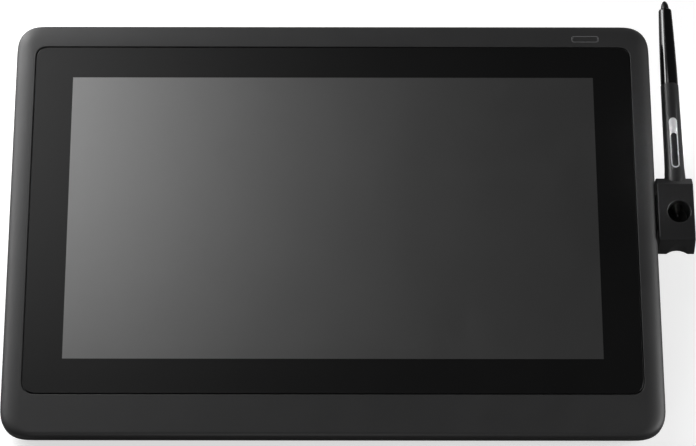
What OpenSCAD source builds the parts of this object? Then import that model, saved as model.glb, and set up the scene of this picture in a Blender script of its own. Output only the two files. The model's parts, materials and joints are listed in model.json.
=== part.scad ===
// Pen display: a drawing tablet with a screen, tilted on fold-out legs, with its pen in a side holder.
// Lengths are millimetres and angles are degrees. The tablet is drawn lying flat: x runs to the right from
// its middle, y runs back from its front edge and z runs up from its rear face. stand() then tilts it onto
// its feet, with the origin in the middle of the front foot's contact face.

/* [Screen] */
// Width of the picture area
active_w = 344.2; // [300:0.2:380]
// Depth of the picture area
active_d = 193.6; // [165:0.2:215]
// Black glass border at each side of the picture
border_side = 25; // [20:0.5:32]
// Black glass border behind the picture
border_back = 21.9; // [18:0.1:30]
// Black glass border in front of the picture
border_front = 23; // [21:0.5:30]
// Thickness of the cover glass
glass_t = 1.5; // [1:0.1:2]
// Corner radius of the cover glass
glass_r = 6.5; // [4:0.5:9]
// Gap between the cover glass and the bezel
glass_gap = 0.4; // [0.2:0.05:0.6]
// Width of the ledge that carries the glass
ledge_w = 6.5; // [6:0.5:8]
// Thickness of the ledge that carries the glass
ledge_t = 2; // [1.6:0.1:2.4]

/* [Screen stack] */
// Thickness of the liquid crystal cell
cell_t = 1.4; // [1:0.1:2]
// Margin of the cell inside the edge of the backlight tray
cell_margin = 1; // [0.5:0.1:1.5]
// Height of the backlight tray
tray_t = 2.6; // [2:0.1:3.4]
// Wall of the backlight tray
tray_wall = 0.8; // [0.5:0.1:1.2]
// Floor of the backlight tray
tray_floor = 0.5; // [0.3:0.1:0.8]
// Channel for the light strip at the front of the light guide
led_channel = 3; // [2:0.2:4]
// Thickness of the light strip
led_strip_t = 0.8; // [0.5:0.1:1.2]
// Margin of the screen module beside the picture
module_side = 7.5; // [6:0.5:9]
// Margin of the screen module behind the picture
module_back = 6; // [4:0.5:7]
// Margin of the screen module in front of the picture
module_front = 12; // [10.5:0.5:13]
// Length of the screen's driver board
panel_board_w = 200; // [150:5:260]
// Thickness of the pen sensor board
sensor_t = 0.8; // [0.6:0.1:1.2]
// Margin of the pen sensor board round the picture
sensor_margin = 4; // [2:0.5:4.5]
// Thickness of the shield sheet
shield_t = 0.5; // [0.3:0.1:0.8]
// Thickness of the chassis plate
chassis_t = 1; // [0.8:0.1:1.5]

/* [Case] */
// Visible bezel at each side of the glass
bezel_side = 13.6; // [12.5:0.1:18]
// Visible bezel behind the glass
bezel_back = 16.2; // [16:0.1:22]
// Visible bezel in front of the glass
bezel_front = 27.7; // [24:0.1:36]
// Thickness of the tablet from its rear face to the glass
case_t = 23; // [21.5:0.5:27]
// Corner radius of the case seen from above
corner_r = 14.5; // [12:0.5:18]
// Wall of the bezel and of the rear cover
wall = 2.2; // [1.8:0.1:2.4]
// Height over which the bezel rounds off at its sides
crown_side_h = 6; // [4:0.25:7]
// Height over which the bezel rounds off at the back
crown_back_h = 3.5; // [2:0.25:4]
// Width over which the bezel rounds off at the front
crown_front_w = 3; // [2:0.25:5]
// Height over which the bezel rounds off at the front
crown_front_h = 2.2; // [1.5:0.1:4]
// Width of the rounding under each side
under_side_w = 14; // [10:0.5:16]
// Height of the rounding under each side
under_side_h = 12; // [10:0.5:13]
// Width of the rounding under the back edge
under_back_w = 9; // [6:0.5:10]
// Height of the rounding under the back edge
under_back_h = 9; // [7:0.5:11]
// Width of the rounding under the front edge
under_front_w = 15; // [13:0.5:17]
// Height of the rounding under the front edge
under_front_h = 14; // [12:0.5:16]

/* [Stand] */
// Angle of the tablet on its legs
tilt = 19; // [16:0.5:22]
// Width of a leg
leg_w = 60; // [45:1:70]
// Thickness of a leg
leg_t = 7; // [6:0.25:8]
// Distance of each leg from the middle of the tablet
leg_x = 120; // [116:1:130]
// Distance of the leg hinge from the back edge
hinge_inset = 52; // [46:0.5:58]
// Clearance round a leg in its pocket
leg_gap = 0.3; // [0.25:0.05:0.6]
// Room for a finger past the end of a folded leg
finger_room = 9; // [6:0.5:12]
// Walls of the pockets in the rear cover
pocket_wall = 1.6; // [1.2:0.1:2]
// Radius of a leg's hinge pin
leg_pin_r = 1.5; // [1.2:0.1:2]
// Depth that each end of the pin is seated in the cover
leg_pin_seat = 3; // [2:0.25:4]
// Running clearance between a pin and its leg
leg_fit = 0.08; // [0.04:0.01:0.1]
// Thickness of the rubber pad under a leg
pad_t = 2.5; // [1.5:0.1:4]
// Length of the front foot
foot_len = 250; // [200:5:270]
// Width of the front foot
foot_w = 10; // [9.5:0.25:12]
// Distance of the front foot from the front edge
foot_inset = 9; // [8:0.25:9.5]
// How far the feet stand out below the rear face
foot_proud = 1.6; // [1.2:0.1:2]
// Height of the front foot's sloped face at its front edge
foot_lip = 0.35; // [0.2:0.05:0.5]
// Height of the bed that the feet are set in
foot_bed = 1; // [0.8:0.1:1.3]
// Radius of a rear foot
rear_foot_r = 7; // [5:0.5:9]
// Distance of each rear foot from the middle of the tablet
rear_foot_x = 172; // [164:1:176]
// Distance of the rear feet from the back edge
rear_foot_inset = 27; // [22:0.5:32]

/* [Power button] */
// Distance of the button's middle from the right edge
button_inset = 42.5; // [38:0.5:48]
// Distance of the button's middle from the glass
button_behind = 5.9; // [5.4:0.1:6.6]
// Length of the light ring round the button
ring_w = 17; // [14:0.2:18]
// Width of the light ring round the button
ring_d = 5.1; // [4.6:0.1:6]
// Corner radius of the light ring
ring_r = 1.6; // [1.2:0.1:2.2]
// Wall of the light ring
ring_wall = 0.75; // [0.5:0.05:1]
// Height of the light ring
ring_h = 2.4; // [1.8:0.1:2.6]
// Clearance round the button in its ring
button_gap = 0.3; // [0.2:0.05:0.4]
// Travel of the button
button_travel = 0.4; // [0.2:0.05:0.6]
// Thickness of the button's flange
flange_t = 1; // [0.6:0.1:1.3]
// Width of the switch under the button
switch_w = 6; // [5:0.25:6.5]
// Height of the switch under the button
switch_h = 2; // [1.6:0.1:2.2]
// Radius of the switch plunger
plunger_r = 1.5; // [1:0.1:1.8]
// Length of the power board
power_board_w = 30; // [29:0.5:33]
// Width of the power board
power_board_d = 9.2; // [8.4:0.1:9.6]
// Thickness of the power board
power_board_t = 1; // [0.8:0.1:1.4]
// Distance of each power board post from the button's middle
power_post_x = 12; // [11.6:0.1:12.6]
// Radius of a power board post
power_post_r = 2.3; // [1.8:0.1:2.5]

/* [Boards and cables] */
// Width of the main board
board_w = 150; // [120:1:156]
// Depth of the main board
board_d = 86; // [70:1:96]
// Thickness of the main board
board_t = 1.2; // [0.8:0.1:1.8]
// Gap between the main board and the cable recess
board_gap = 6; // [4:0.5:9]
// Distance of the board screws from the board's edges
board_screw_inset = 5; // [4:0.5:7]
// Thickness of the flat cables
flex_t = 0.3; // [0.2:0.05:0.5]
// Width of the screen's flat cable
display_flex_w = 20; // [12:1:26]
// Width of the sensor's flat cable
sensor_flex_w = 16; // [10:1:20]
// Width of the power button's flat cable
power_flex_w = 6; // [4:0.5:7]
// Drop of the flat cables below the chassis plate
flex_drop = 0.7; // [0.4:0.1:1]

/* [Cable recess and lock] */
// Width of the cable recess in the rear cover
recess_w = 60; // [40:1:70]
// Depth of the cable recess from the back edge
recess_d = 50; // [45:1:60]
// Width of the cable socket
port_w = 22; // [16:0.5:30]
// Height of the cable socket
port_h = 5.2; // [4.6:0.1:5.4]
// Length of the cable socket
port_l = 14; // [12:0.5:18]
// Wall of the cable socket
port_wall = 0.9; // [0.6:0.1:1.2]
// Width of the lock slot
lock_w = 7; // [6:0.5:8]
// Height of the lock slot
lock_h = 3; // [2.5:0.1:3.4]
// Distance of the lock slot from the middle of the tablet
lock_x = 165; // [150:1:175]
// Thickness of the lock plate
lock_plate_t = 1.5; // [1:0.1:2]

/* [Vents] */
// Number of vents on each side
vent_count = 7; // [4:1:8]
// Distance between vents
vent_pitch = 6; // [5:0.5:7]
// Width of a vent
vent_w = 2; // [1.5:0.1:3]
// Length of a vent
vent_l = 12; // [8:0.5:16]
// Distance of the first vent from the middle of the tablet
vent_x = 45; // [40:1:55]
// Distance of the vents' middle from the back edge
vent_inset = 28; // [24:0.5:32]

/* [Fasteners] */
// Radius of a cover screw's shank
cover_screw_r = 1.2; // [1:0.05:1.4]
// Radius of a cover screw's head
cover_head_r = 2.8; // [2.4:0.1:3.2]
// Height of a cover screw's head
cover_head_t = 2; // [1.5:0.1:2.5]
// Length of a cover screw's shank
cover_screw_l = 11; // [9:0.5:12]
// Distance of the side posts from the side edge
post_side = 8.5; // [8.2:0.1:9]
// Distance of the back posts from the back edge
post_back = 10.5; // [9.5:0.1:11]
// Distance of the front posts from the front edge
post_front = 12; // [11:0.25:14]
// Distance of the front side posts from the middle of the glass
post_row_front = 88; // [60:1:100]
// Distance of the back side posts from the middle of the glass
post_row_back = 62; // [40:1:90]
// Distance of the inner back posts from the middle of the tablet
post_back_inner = 55; // [45:1:75]
// Distance of the outer back posts from the middle of the tablet
post_back_outer = 132; // [110:1:145]
// Distance of the front posts from the middle of the tablet
post_front_x = 148; // [142:1:165]
// Radius of the posts that the cover screws bite into
post_r = 3.5; // [3:0.1:3.8]
// Radius of the screw bosses in the rear cover
boss_r = 4.4; // [4:0.1:5]
// Height of the seat under the cover screws' heads
head_seat = 5.5; // [5:0.25:6.5]
// Radius of a small screw's shank
small_screw_r = 0.9; // [0.7:0.05:1]
// Radius of a small screw's head
small_head_r = 1.8; // [1.6:0.1:2]
// Height of a small screw's head
small_head_t = 1.2; // [0.8:0.1:1.6]
// Length of a small screw's shank below its head
small_screw_l = 3.6; // [3:0.2:4]
// Clearance of a screw's shank in the thread it bites into
thread_gap = 0.05; // [0.03:0.01:0.1]
// Clearance of a screw's shank and head in the pieces it passes
screw_gap = 0.3; // [0.2:0.05:0.5]
// Distance of the side chassis posts from the middle of the glass
chassis_row = 70; // [50:1:90]
// Radius of the posts that carry the chassis plate
chassis_post_r = 2.9; // [2.4:0.1:3]
// Radius of the standoffs that carry the main board
standoff_r = 2.6; // [2.2:0.1:3.2]

/* [Pen holder] */
// Width of the holder block
holder_w = 23.5; // [23:0.25:28]
// Length of the holder block
holder_l = 47; // [44:0.5:56]
// Thickness of the holder block
holder_t = 20; // [18.5:0.25:21]
// Gap between the tablet and the holder block
holder_gap = 1; // [0.6:0.1:2]
// Depth of the holder's top face below the glass
holder_drop = 2; // [1:0.25:3]
// Distance of the holder's back end from the tablet's back edge
holder_back = 106.1; // [96:0.1:120]
// Spread of the holder's outer side towards its underside
holder_side_spread = 1.5; // [0.5:0.1:2]
// Spread of the holder's front end towards its underside
holder_front_spread = 1; // [0.5:0.1:1.5]
// Radius of the holder's upright edges
holder_r = 2; // [1:0.25:3]
// Chamfer on the holder's back edge
holder_chamfer = 6; // [4:0.5:7]
// Radius of the holder's front top edge
holder_front_r = 4.5; // [3:0.25:5]
// Length of the tongue that plugs into the tablet
tongue_l = 24; // [18:0.5:28]
// Thickness of the tongue
tongue_t = 4; // [3:0.1:4.4]
// Depth of the tongue in the tablet
tongue_d = 7.5; // [6:0.25:8]
// Clearance of the tongue in its slot
slot_gap = 0.3; // [0.25:0.05:0.4]
// Walls of the slot that takes the tongue
slot_wall = 1.2; // [1:0.1:1.4]
// Distance of the pen's tip from the holder's inner side
pen_in = 13.6; // [12.4:0.1:14]
// Distance of the pen's tip from the holder's front end
pen_seat = 21.4; // [19:0.2:23]
// Sideways lean of the pen in its holder
pen_lean = 0.48; // [0:0.02:0.8]
// Clearance between the pen's nose and its seat
seat_gap = 0.35; // [0.3:0.05:0.5]
// Clearance between the pen's grip and the bore
bore_gap = 0.5; // [0.4:0.05:0.7]
// Radius of the well over the pen's nose
well_r = 7.9; // [7:0.1:8.2]
// Distance of the well's middle from the holder's front end
well_y = 22; // [20.6:0.2:23.6]
// Depth of the well
well_depth = 14; // [12:0.25:15]
// Radius of the scoop in the holder's front end
scoop_r = 12; // [9:0.5:14]
// Depth of the scoop at the holder's underside
scoop_d = 2.2; // [1.6:0.1:3]

/* [Pen] */
// Length of the nib outside the nose
nib_out = 1.6; // [1.2:0.1:2]
// Radius of the nib
nib_r = 0.75; // [0.6:0.05:0.8]
// Travel of the nib
nib_travel = 0.4; // [0.2:0.05:0.6]
// Length of the nose cone
nose_l = 12.4; // [11.6:0.2:15]
// Radius of the nose at its tip
nose_r = 1.35; // [1.25:0.05:1.6]
// Radius of the grip where it meets the nose
grip_front_r = 5.5; // [5.4:0.1:5.8]
// Radius of the grip at its bulge
bulge_r = 6.95; // [6.7:0.05:7.05]
// Distance of the bulge from the grip's front
bulge_s = 11; // [9:0.5:13]
// Radius of the grip behind its bulge
neck_r = 6.46; // [6.3:0.02:6.6]
// Distance from the grip's front to behind its bulge
neck_s = 22; // [20:0.5:24]
// Radius of the grip at its back end
grip_back_r = 5.92; // [5.8:0.02:6.1]
// Length of the grip
grip_l = 79; // [76:0.5:88]
// Radius of the barrel where it meets the grip
barrel_r = 5.75; // [5.5:0.05:5.8]
// Radius of the barrel at its back end
barrel_back_r = 4.28; // [4.1:0.02:4.5]
// Swell of the barrel over a straight taper
barrel_swell = 0.2; // [0.1:0.05:0.3]
// Length of the barrel
barrel_l = 55.4; // [50:0.2:60]
// Wall of the barrel
barrel_wall = 0.85; // [0.6:0.05:0.9]
// Radius of the eraser
eraser_r = 2.95; // [2.6:0.05:3.1]
// Length of the eraser outside the barrel
eraser_out = 6.5; // [5:0.25:8]
// Travel of the eraser
eraser_travel = 0.6; // [0.3:0.1:0.8]
// Clearance of the eraser in the barrel
eraser_gap = 0.2; // [0.15:0.05:0.25]
// Radius of the core tube
core_r = 4.35; // [4.25:0.05:4.4]
// Wall of the core tube
core_wall = 0.85; // [0.6:0.05:0.9]
// Length of the core tube inside the barrel
core_spigot = 9; // [6:0.5:11]
// Length of the nose's spigot inside the grip
nose_spigot = 6; // [4:0.5:8]
// Distance of the side switch from the grip's front
rocker_frame_s = 18.4; // [16:0.2:24]
// Length of the side switch's frame
rocker_frame_l = 35.4; // [32:0.2:38]
// Width of the side switch's frame
rocker_frame_w = 6.2; // [5.8:0.1:6.6]
// Length of the side switch's rocker
rocker_l = 23.4; // [20:0.2:25]
// Width of the side switch's rocker
rocker_w = 4.2; // [3.6:0.1:4.4]
// Clearance round the rocker
rocker_gap = 0.3; // [0.25:0.05:0.4]
// Rim of the frame in front of the rocker
rocker_rim = 0.8; // [0.6:0.1:1.2]
// How far the frame stands out of the grip
frame_proud = 0.2; // [0.1:0.05:0.3]
// How far the rocker stands out of the frame
rocker_proud = 0.3; // [0.1:0.05:0.5]
// Radius of the rocker's pivot pin
rocker_pin_r = 0.35; // [0.3:0.02:0.4]

/* [Hidden] */
$fn = 64;

// Colours
charcoal = [0.17, 0.17, 0.18];
soft_black = [0.1, 0.1, 0.11];
gloss_black = [0.03, 0.03, 0.035];
rubber_grey = [0.14, 0.14, 0.15];
glass_black = [0.04, 0.04, 0.05, 0.6];
screen_grey = [0.3, 0.3, 0.32];
board_green = [0.06, 0.28, 0.16];
steel_grey = [0.6, 0.61, 0.63];
silver = [0.82, 0.83, 0.84];
copper = [0.7, 0.4, 0.2];
film_amber = [0.75, 0.5, 0.12];
light_white = [0.92, 0.93, 0.92];

// Overlap of cutting shapes past the faces they cut, and the thickness of a hull's levels
cut = 1;
level_t = 0.01;
corner_steps = 9;
inner_corner_steps = 4;

// Outline of the glass and of the case
glass_w = active_w + 2 * border_side;
glass_d = border_front + active_d + border_back;
half_w = glass_w / 2 + bezel_side;
glass_y0 = bezel_front;
glass_y1 = glass_y0 + glass_d;
glass_mid = (glass_y0 + glass_y1) / 2;
active_y0 = glass_y0 + border_front;
active_y1 = active_y0 + active_d;
active_mid = (active_y0 + active_y1) / 2;
body_d = glass_y1 + bezel_back;
bezel_flat = 0.2;
crown_margin = glass_gap + bezel_flat;
crown_side_w = bezel_side - crown_margin;
crown_back_w = bezel_back - crown_margin;

// Heights of the screen stack, from the glass down
glass_z = case_t - glass_t;
ledge_z = glass_z - ledge_t;
cell_z = glass_z - cell_t;
tray_z = cell_z - tray_t;
sensor_z = tray_z - sensor_t;
shield_z = sensor_z - shield_t;
chassis_z = shield_z - chassis_t;
window_w = glass_w - 2 * ledge_w;
window_d = glass_d - 2 * ledge_w;
module_w = active_w + 2 * module_side;
module_y0 = active_y0 - module_front;
module_d = active_d + module_front + module_back;
module_mid = module_y0 + module_d / 2;
stack_gap = 0.2;
led_strip_end = 3;
panel_board_t = 1;
panel_board_edge = 0.5;
panel_board_d = module_front - sensor_margin - 2 * panel_board_edge;
sensor_w = active_w + 2 * sensor_margin;
sensor_d = active_d + 2 * sensor_margin;

// The chassis plate reaches past the ledge to the posts that carry it
chassis_over = 0.9;
chassis_w = glass_w + 2 * chassis_over;
chassis_d = glass_d + 2 * chassis_over;
chassis_post_x = window_w / 2 + ledge_w / 2;
chassis_post_y = window_d / 2 + ledge_w / 2;
chassis_posts = [
    [-chassis_post_x, glass_mid - chassis_row], [chassis_post_x, glass_mid - chassis_row],
    [-chassis_post_x, glass_mid + chassis_row], [chassis_post_x, glass_mid + chassis_row],
    [0, glass_mid - chassis_post_y], [0, glass_mid + chassis_post_y]
];

// Pockets in the rear cover, and the seam between cover and bezel above them
leg_flush = 0.3;
pocket_depth = leg_flush + leg_t + leg_gap;
seam_gap = 0.4;
seam_z = pocket_depth + pocket_wall + seam_gap;

// Front foot, whose sloped face lies on the desk
foot_slope_y = foot_inset + (foot_lip + foot_proud) / tan(tilt);
contact_y = (foot_inset + foot_slope_y) / 2;
contact_z = (foot_lip - foot_proud) / 2;

// Legs, drawn folded about their hinge with y towards the back
hinge_y = body_d - hinge_inset;
hinge_z = leg_flush + leg_t / 2;
leg_reach = (hinge_y - contact_y) * tan(tilt) + hinge_z - contact_z;
pad_run = pad_t / cos(tilt);
leg_open = 90;
leg_pin_len = leg_w + 2 * (leg_gap + leg_pin_seat);
press_fit = 0.02;
leg_boss_r = leg_t / 2;
leg_pad_inset = 1.5;

// Places of the cover screws
side_post_x = half_w - post_side;
back_post_y = body_d - post_back;
cover_posts = [
    for (side = [-1, 1]) each [
        [side * side_post_x, glass_mid - post_row_front],
        [side * side_post_x, glass_mid + post_row_back],
        [side * post_back_inner, back_post_y],
        [side * post_back_outer, back_post_y],
        [side * post_front_x, post_front]
    ]
];

// The lock slot and its plate, over the rounding of the back edge
lock_rim = 1.4;
lock_z = seam_z - lock_h / 2 - lock_rim;
lock_plate_rim = 0.8;
lock_plate_side = 5;
lock_plate_gap = 0.3;
lock_plate_z = lock_z - lock_h / 2 - lock_plate_rim;
lock_plate_y = body_d - back_inset(lock_plate_z - wall) - wall - lock_plate_gap;

// Power button, from its light ring down to its board
button_x = half_w - button_inset;
button_y = glass_y1 + button_behind;
ring_sunk = 0.15;
ring_top = case_t - ring_sunk;
ring_z = ring_top - ring_h;
ring_fit = 0.05;
button_w = ring_w - 2 * (ring_wall + button_gap);
button_d = ring_d - 2 * (ring_wall + button_gap);
button_proud = 0.05;
button_top = ring_top + button_proud;
button_rest_gap = 0.3;
flange_rim = 1;
flange_w = button_w + 2 * flange_rim;
flange_d = button_d + 2 * flange_rim;
flange_z = ledge_z - button_rest_gap - flange_t;
plunger_seat = 0.7;
switch_z = flange_z - button_travel - plunger_seat - switch_h;
switch_floor = 0.5;
plunger_rest = 0.2;
plunger_gap = 0.3;
power_board_z = switch_z - power_board_t;
led_size = [1.6, 1, 0.7];
led_gap = 1;

// Main board, hung from the chassis plate over the cable socket
recess_y = body_d - recess_d;
port_gap = 0.2;
port_z = wall + port_gap;
board_z = port_z + port_h;
board_top = board_z + board_t;
board_y1 = recess_y - board_gap;
board_y0 = board_y1 - board_d;
port_proud = 0.4;
port_y0 = recess_y + port_proud - port_l;
port_tongue_t = 1.2;
port_tongue_side = 1.5;
port_tongue_back = 1;
port_back_wall = 3;
board_screw_x = board_w / 2 - board_screw_inset;
board_screws_at = [
    for (side = [-1, 1]) each [
        [side * board_screw_x, board_y0 + board_screw_inset],
        [side * board_screw_x, board_y1 - board_screw_inset]
    ]
];
// Chips under the main board: place from the board's middle, width, depth and height
chips = [
    [[-28, 8], 18, 18, 1.6],
    [[4, 14], 12, 14, 1.2],
    [[26, 12], 10, 12, 1.2],
    [[-52, -14], 14, 9, 2.4],
    [[-22, -20], 8, 8, 1],
    [[8, -18], 9, 7, 3],
    [[34, -20], 12, 12, 2],
    [[54, 6], 7, 16, 2.8]
];
flex_z = chassis_z - flex_drop - flex_t;
flex_slot = 4;
display_flex_y = module_y0 + panel_board_edge + panel_board_d / 2;
sensor_flex_inset = 4;
sensor_flex_y = active_y1 - sensor_flex_inset;
sensor_flex_x = 32;
flex_landing = 9;
power_flex_inset = 14;
power_flex_x = board_w / 2 - power_flex_inset;
flex_side_room = 1;
flex_post_gap = 1;
flex_run_gap = 4;

// Holder block and pen
holder_x = half_w + holder_gap;
holder_y = body_d - holder_back - holder_l;
holder_z1 = case_t - holder_drop;
holder_z0 = holder_z1 - holder_t;
holder_mid = holder_y + holder_l / 2;
scoop_top = 3;
slot_rise = 0.2;
slot_z = seam_z + slot_wall + slot_gap + slot_rise;
slot_d = tongue_d + slot_gap;
pen_x = holder_x + pen_in;
pen_y = holder_y + pen_seat;
pen_z = (holder_z0 + holder_z1) / 2;
bore_r = bulge_r + bore_gap;
nib_pocket = 2;
bore_lead = 2;

// Stations along the pen, from the nib's tip
nose_s = nib_out;
grip_s = nose_s + nose_l;
bulge_at = grip_s + bulge_s;
neck_at = grip_s + neck_s;
barrel_s = grip_s + grip_l;
barrel_end = barrel_s + barrel_l;
pen_end = barrel_end + eraser_out;
nose_wall = 0.9;
nose_bore_gap = 0.2;
nose_cavity_l = 4.5;
nose_cavity_s = grip_s - nose_cavity_l;
nose_cavity_r = 3.1;
grip_fit = 0.05;
coil_in_nose = 0.3;
ferrite_gap = 0.25;
ferrite_wall = 0.85;
coil_wall = 0.85;
coil_fit = 0.05;
coil_end = 1;
pen_sensor_at = 11;
sensor_s = grip_s + pen_sensor_at;
pen_sensor_l = 8;
nib_in_sensor = 1.5;
nib_end = sensor_s + nib_in_sensor;
nib_free = 0.6;
pen_board_gap = 0.7;
pen_board_half_t = 0.4;
pen_board_end = 2;
eraser_body_l = 6;
eraser_stem_r = 1.2;
eraser_sensor_l = 8;
eraser_sensor_r = 3;
eraser_stem_l = 13;
eraser_stem_in = 2;
eraser_free = 0.4;
rocker_s = grip_s + rocker_frame_s;
rocker_hole_l = rocker_l + 2 * rocker_gap;
rocker_hole_w = rocker_w + 2 * rocker_gap;
rocker_mid = rocker_s + rocker_rim + rocker_hole_l / 2;
rocker_frame_mid = rocker_s + rocker_frame_l / 2;
rocker_rise = 0.65;
rocker_base = core_r + rocker_rise;
rocker_pin_fit = 0.05;
rocker_pin_rise = 0.75;
rocker_pin_inset = 0.2;
rocker_pin_at = rocker_base + rocker_pin_rise;
barrel_steps = 6;
barrel_lip = 2;
barrel_lead = 1;
barrel_ease = 0.3;
core_end_gap = 0.5;

function crown(z, w, h) =
    z <= case_t - h ? 0 : w * (1 - sqrt(max(0, 1 - pow((z - case_t + h) / h, 2))));
function under(z, w, h) =
    z >= h ? 0 : w * (1 - sqrt(max(0, 1 - pow((h - z) / h, 2))));
function side_inset(z) = crown(z, crown_side_w, crown_side_h) + under(z, under_side_w, under_side_h);
function back_inset(z) = crown(z, crown_back_w, crown_back_h) + under(z, under_back_w, under_back_h);
function front_inset(z) = crown(z, crown_front_w, crown_front_h) + under(z, under_front_w, under_front_h);
function corner_arc(middle, r, start, steps) =
    [for (i = [0:steps]) middle + r * [cos(start + 90 * i / steps), sin(start + 90 * i / steps)]];
// Outline of the case with its sides, front and back set in by the given amounts
function case_outline(side, front, back, steps) =
    let (
        least_r = glass_r + glass_gap,
        rf = max(least_r, corner_r - (side + front) / 2),
        rb = max(least_r, corner_r - (side + back) / 2),
        x = half_w - side,
        y1 = body_d - back
    )
    concat(
        corner_arc([x - rb, y1 - rb], rb, 0, steps),
        corner_arc([-x + rb, y1 - rb], rb, 90, steps),
        corner_arc([-x + rf, front + rf], rf, 180, steps),
        corner_arc([x - rf, front + rf], rf, 270, steps)
    );
// Levels that follow the roundings above and below
crown_levels = concat([under_front_h], [for (a = [0:15:90]) case_t - crown_side_h * (1 - sin(a))]);
under_levels = [for (a = [0:15:75]) let (z = under_side_h * (1 - cos(a))) if (z < seam_z) z];

function barrel_radius(t) =
    barrel_r + (barrel_back_r - barrel_r) * t + 4 * barrel_swell * t * (1 - t);
function grip_radius(s) =
    s < neck_at
        ? bulge_r + (neck_r - bulge_r) * (s - bulge_at) / (neck_at - bulge_at)
        : neck_r + (grip_back_r - neck_r) * (s - neck_at) / (barrel_s - neck_at);

module stand() {
    rotate([tilt, 0, 0])
        translate([0, -contact_y, -contact_z])
            children();
}

module case_level(z, at, inset, steps) {
    translate([0, 0, at])
        linear_extrude(level_t)
            polygon(case_outline(
                side_inset(z) + inset,
                front_inset(z) + inset,
                back_inset(z) + inset,
                steps
            ));
}

module rounded_rect(w, d, r) {
    square([w - 2 * r, d], center = true);
    square([w, d - 2 * r], center = true);
    for (sx = [-1, 1], sy = [-1, 1])
        translate([sx * (w / 2 - r), sy * (d / 2 - r)])
            circle(r);
}

module capsule(l, w) {
    square([l - w, w], center = true);
    for (side = [-1, 1])
        translate([side * (l - w) / 2, 0])
            circle(d = w);
}

module block(x, y, z) {
    translate([x[0], y[0], z[0]])
        cube([x[1] - x[0], y[1] - y[0], z[1] - z[0]]);
}

// Plate of a given width and depth about a middle line, from z upwards
module plate(w, y_mid, d, z, t) {
    block([-w / 2, w / 2], [y_mid - d / 2, y_mid + d / 2], [z, z + t]);
}

module at_each(places) {
    for (p = places)
        translate([p[0], p[1], 0])
            children();
}

module rod(r, z0, z1) {
    translate([0, 0, z0])
        cylinder(r = r, h = z1 - z0);
}

// Extrudes an outline drawn in y and z along x, about the middle
module along_x(l) {
    rotate([90, 0, 90])
        translate([0, 0, -l / 2])
            linear_extrude(l)
                children();
}

// A screw standing on its head, with the head's seat at z = 0 and the shank upwards
module screw(head_r, head_t, shank_r, shank_l) {
    socket_r = head_r * 0.5;
    socket_d = head_t * 0.5;
    difference() {
        union() {
            rod(head_r, -head_t, 0);
            rod(shank_r, -head_t / 2, shank_l);
        }
        translate([0, 0, -head_t - cut])
            cylinder(r = socket_r, h = cut + socket_d, $fn = 6);
    }
}

module slot_outline() {
    translate([0, holder_mid, slot_z + tongue_t / 2])
        children();
}

// Case

module bezel_body() {
    hull() {
        case_level(seam_z, seam_z, 0, corner_steps);
        for (z = crown_levels)
            case_level(z, z - level_t, 0, corner_steps);
    }
}

module bezel_cavity() {
    hull() {
        case_level(seam_z, seam_z - cut, wall, inner_corner_steps);
        case_level(under_front_h, under_front_h, wall, inner_corner_steps);
        case_level(ledge_z, ledge_z - level_t, wall, inner_corner_steps);
    }
}

module bezel_posts() {
    at_each(cover_posts)
        rod(post_r, 0, case_t);
    at_each(chassis_posts)
        rod(chassis_post_r, chassis_z + chassis_t, case_t);
    for (side = [-1, 1])
        translate([button_x + side * power_post_x, button_y, 0])
            rod(power_post_r, power_board_z + power_board_t, case_t);
    slot_reach = wall + slot_d + slot_wall;
    slot_half_l = tongue_l / 2 + slot_gap + slot_wall;
    for (side = [-1, 1])
        slot_outline()
            translate([side * half_w, 0, 0])
                cube([
                    2 * slot_reach,
                    2 * slot_half_l,
                    tongue_t + 2 * (slot_gap + slot_wall)
                ], center = true);
}

module tongue_slot(side) {
    slot_outline()
        translate([side * half_w, 0, 0])
            cube([2 * slot_d, tongue_l + 2 * slot_gap, tongue_t + 2 * slot_gap], center = true);
}

module front_bezel() {
    color(charcoal) stand() difference() {
        bezel_body();
        difference() {
            bezel_cavity();
            bezel_posts();
        }
        translate([0, glass_mid, glass_z])
            linear_extrude(glass_t + cut)
                rounded_rect(glass_w + 2 * glass_gap, glass_d + 2 * glass_gap, glass_r + glass_gap);
        plate(window_w, glass_mid, window_d, ledge_z - cut, ledge_t + 2 * cut);
        translate([button_x, button_y, ring_z])
            linear_extrude(ring_h + cut)
                rounded_rect(ring_w + 2 * ring_fit, ring_d + 2 * ring_fit, ring_r + ring_fit);
        translate([button_x, button_y, ledge_z - cut])
            linear_extrude(ring_h + cut)
                rounded_rect(button_w + 2 * button_gap, button_d + 2 * button_gap, ring_r - ring_wall);
        at_each(cover_posts)
            rod(cover_screw_r + thread_gap, seam_z - cut, head_seat + cover_screw_l + cut);
        at_each(chassis_posts)
            rod(small_screw_r + thread_gap, chassis_z, chassis_z + small_screw_l + screw_gap);
        for (side = [-1, 1])
            translate([button_x + side * power_post_x, button_y, 0])
                rod(small_screw_r + thread_gap, power_board_z, power_board_z + small_screw_l + screw_gap);
        for (side = [-1, 1])
            tongue_slot(side);
    }
}

module cover_body() {
    hull() {
        case_level(0, 0, 0, corner_steps);
        for (z = under_levels)
            case_level(z, z, 0, corner_steps);
        case_level(seam_z, seam_z - level_t, 0, corner_steps);
    }
}

module cover_cavity() {
    hull() {
        for (z = under_levels)
            case_level(z, z + wall, wall, inner_corner_steps);
        case_level(seam_z, seam_z + wall + cut, wall, inner_corner_steps);
    }
}

// Space that a leg folds into, grown by the thickness of its walls
module leg_pocket(side, grown) {
    half = leg_w / 2 + leg_gap + grown;
    front_y = hinge_y - leg_reach - finger_room - grown;
    back_y = hinge_y + leg_t / 2 + leg_gap + grown;
    translate([side * leg_x, 0, 0])
        block([-half, half], [front_y, back_y], [-cut, pocket_depth + grown]);
}

module leg_pin_rod(r, l) {
    translate([0, hinge_y, hinge_z])
        rotate([0, 90, 0])
            cylinder(r = r, h = l, center = true);
}

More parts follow.
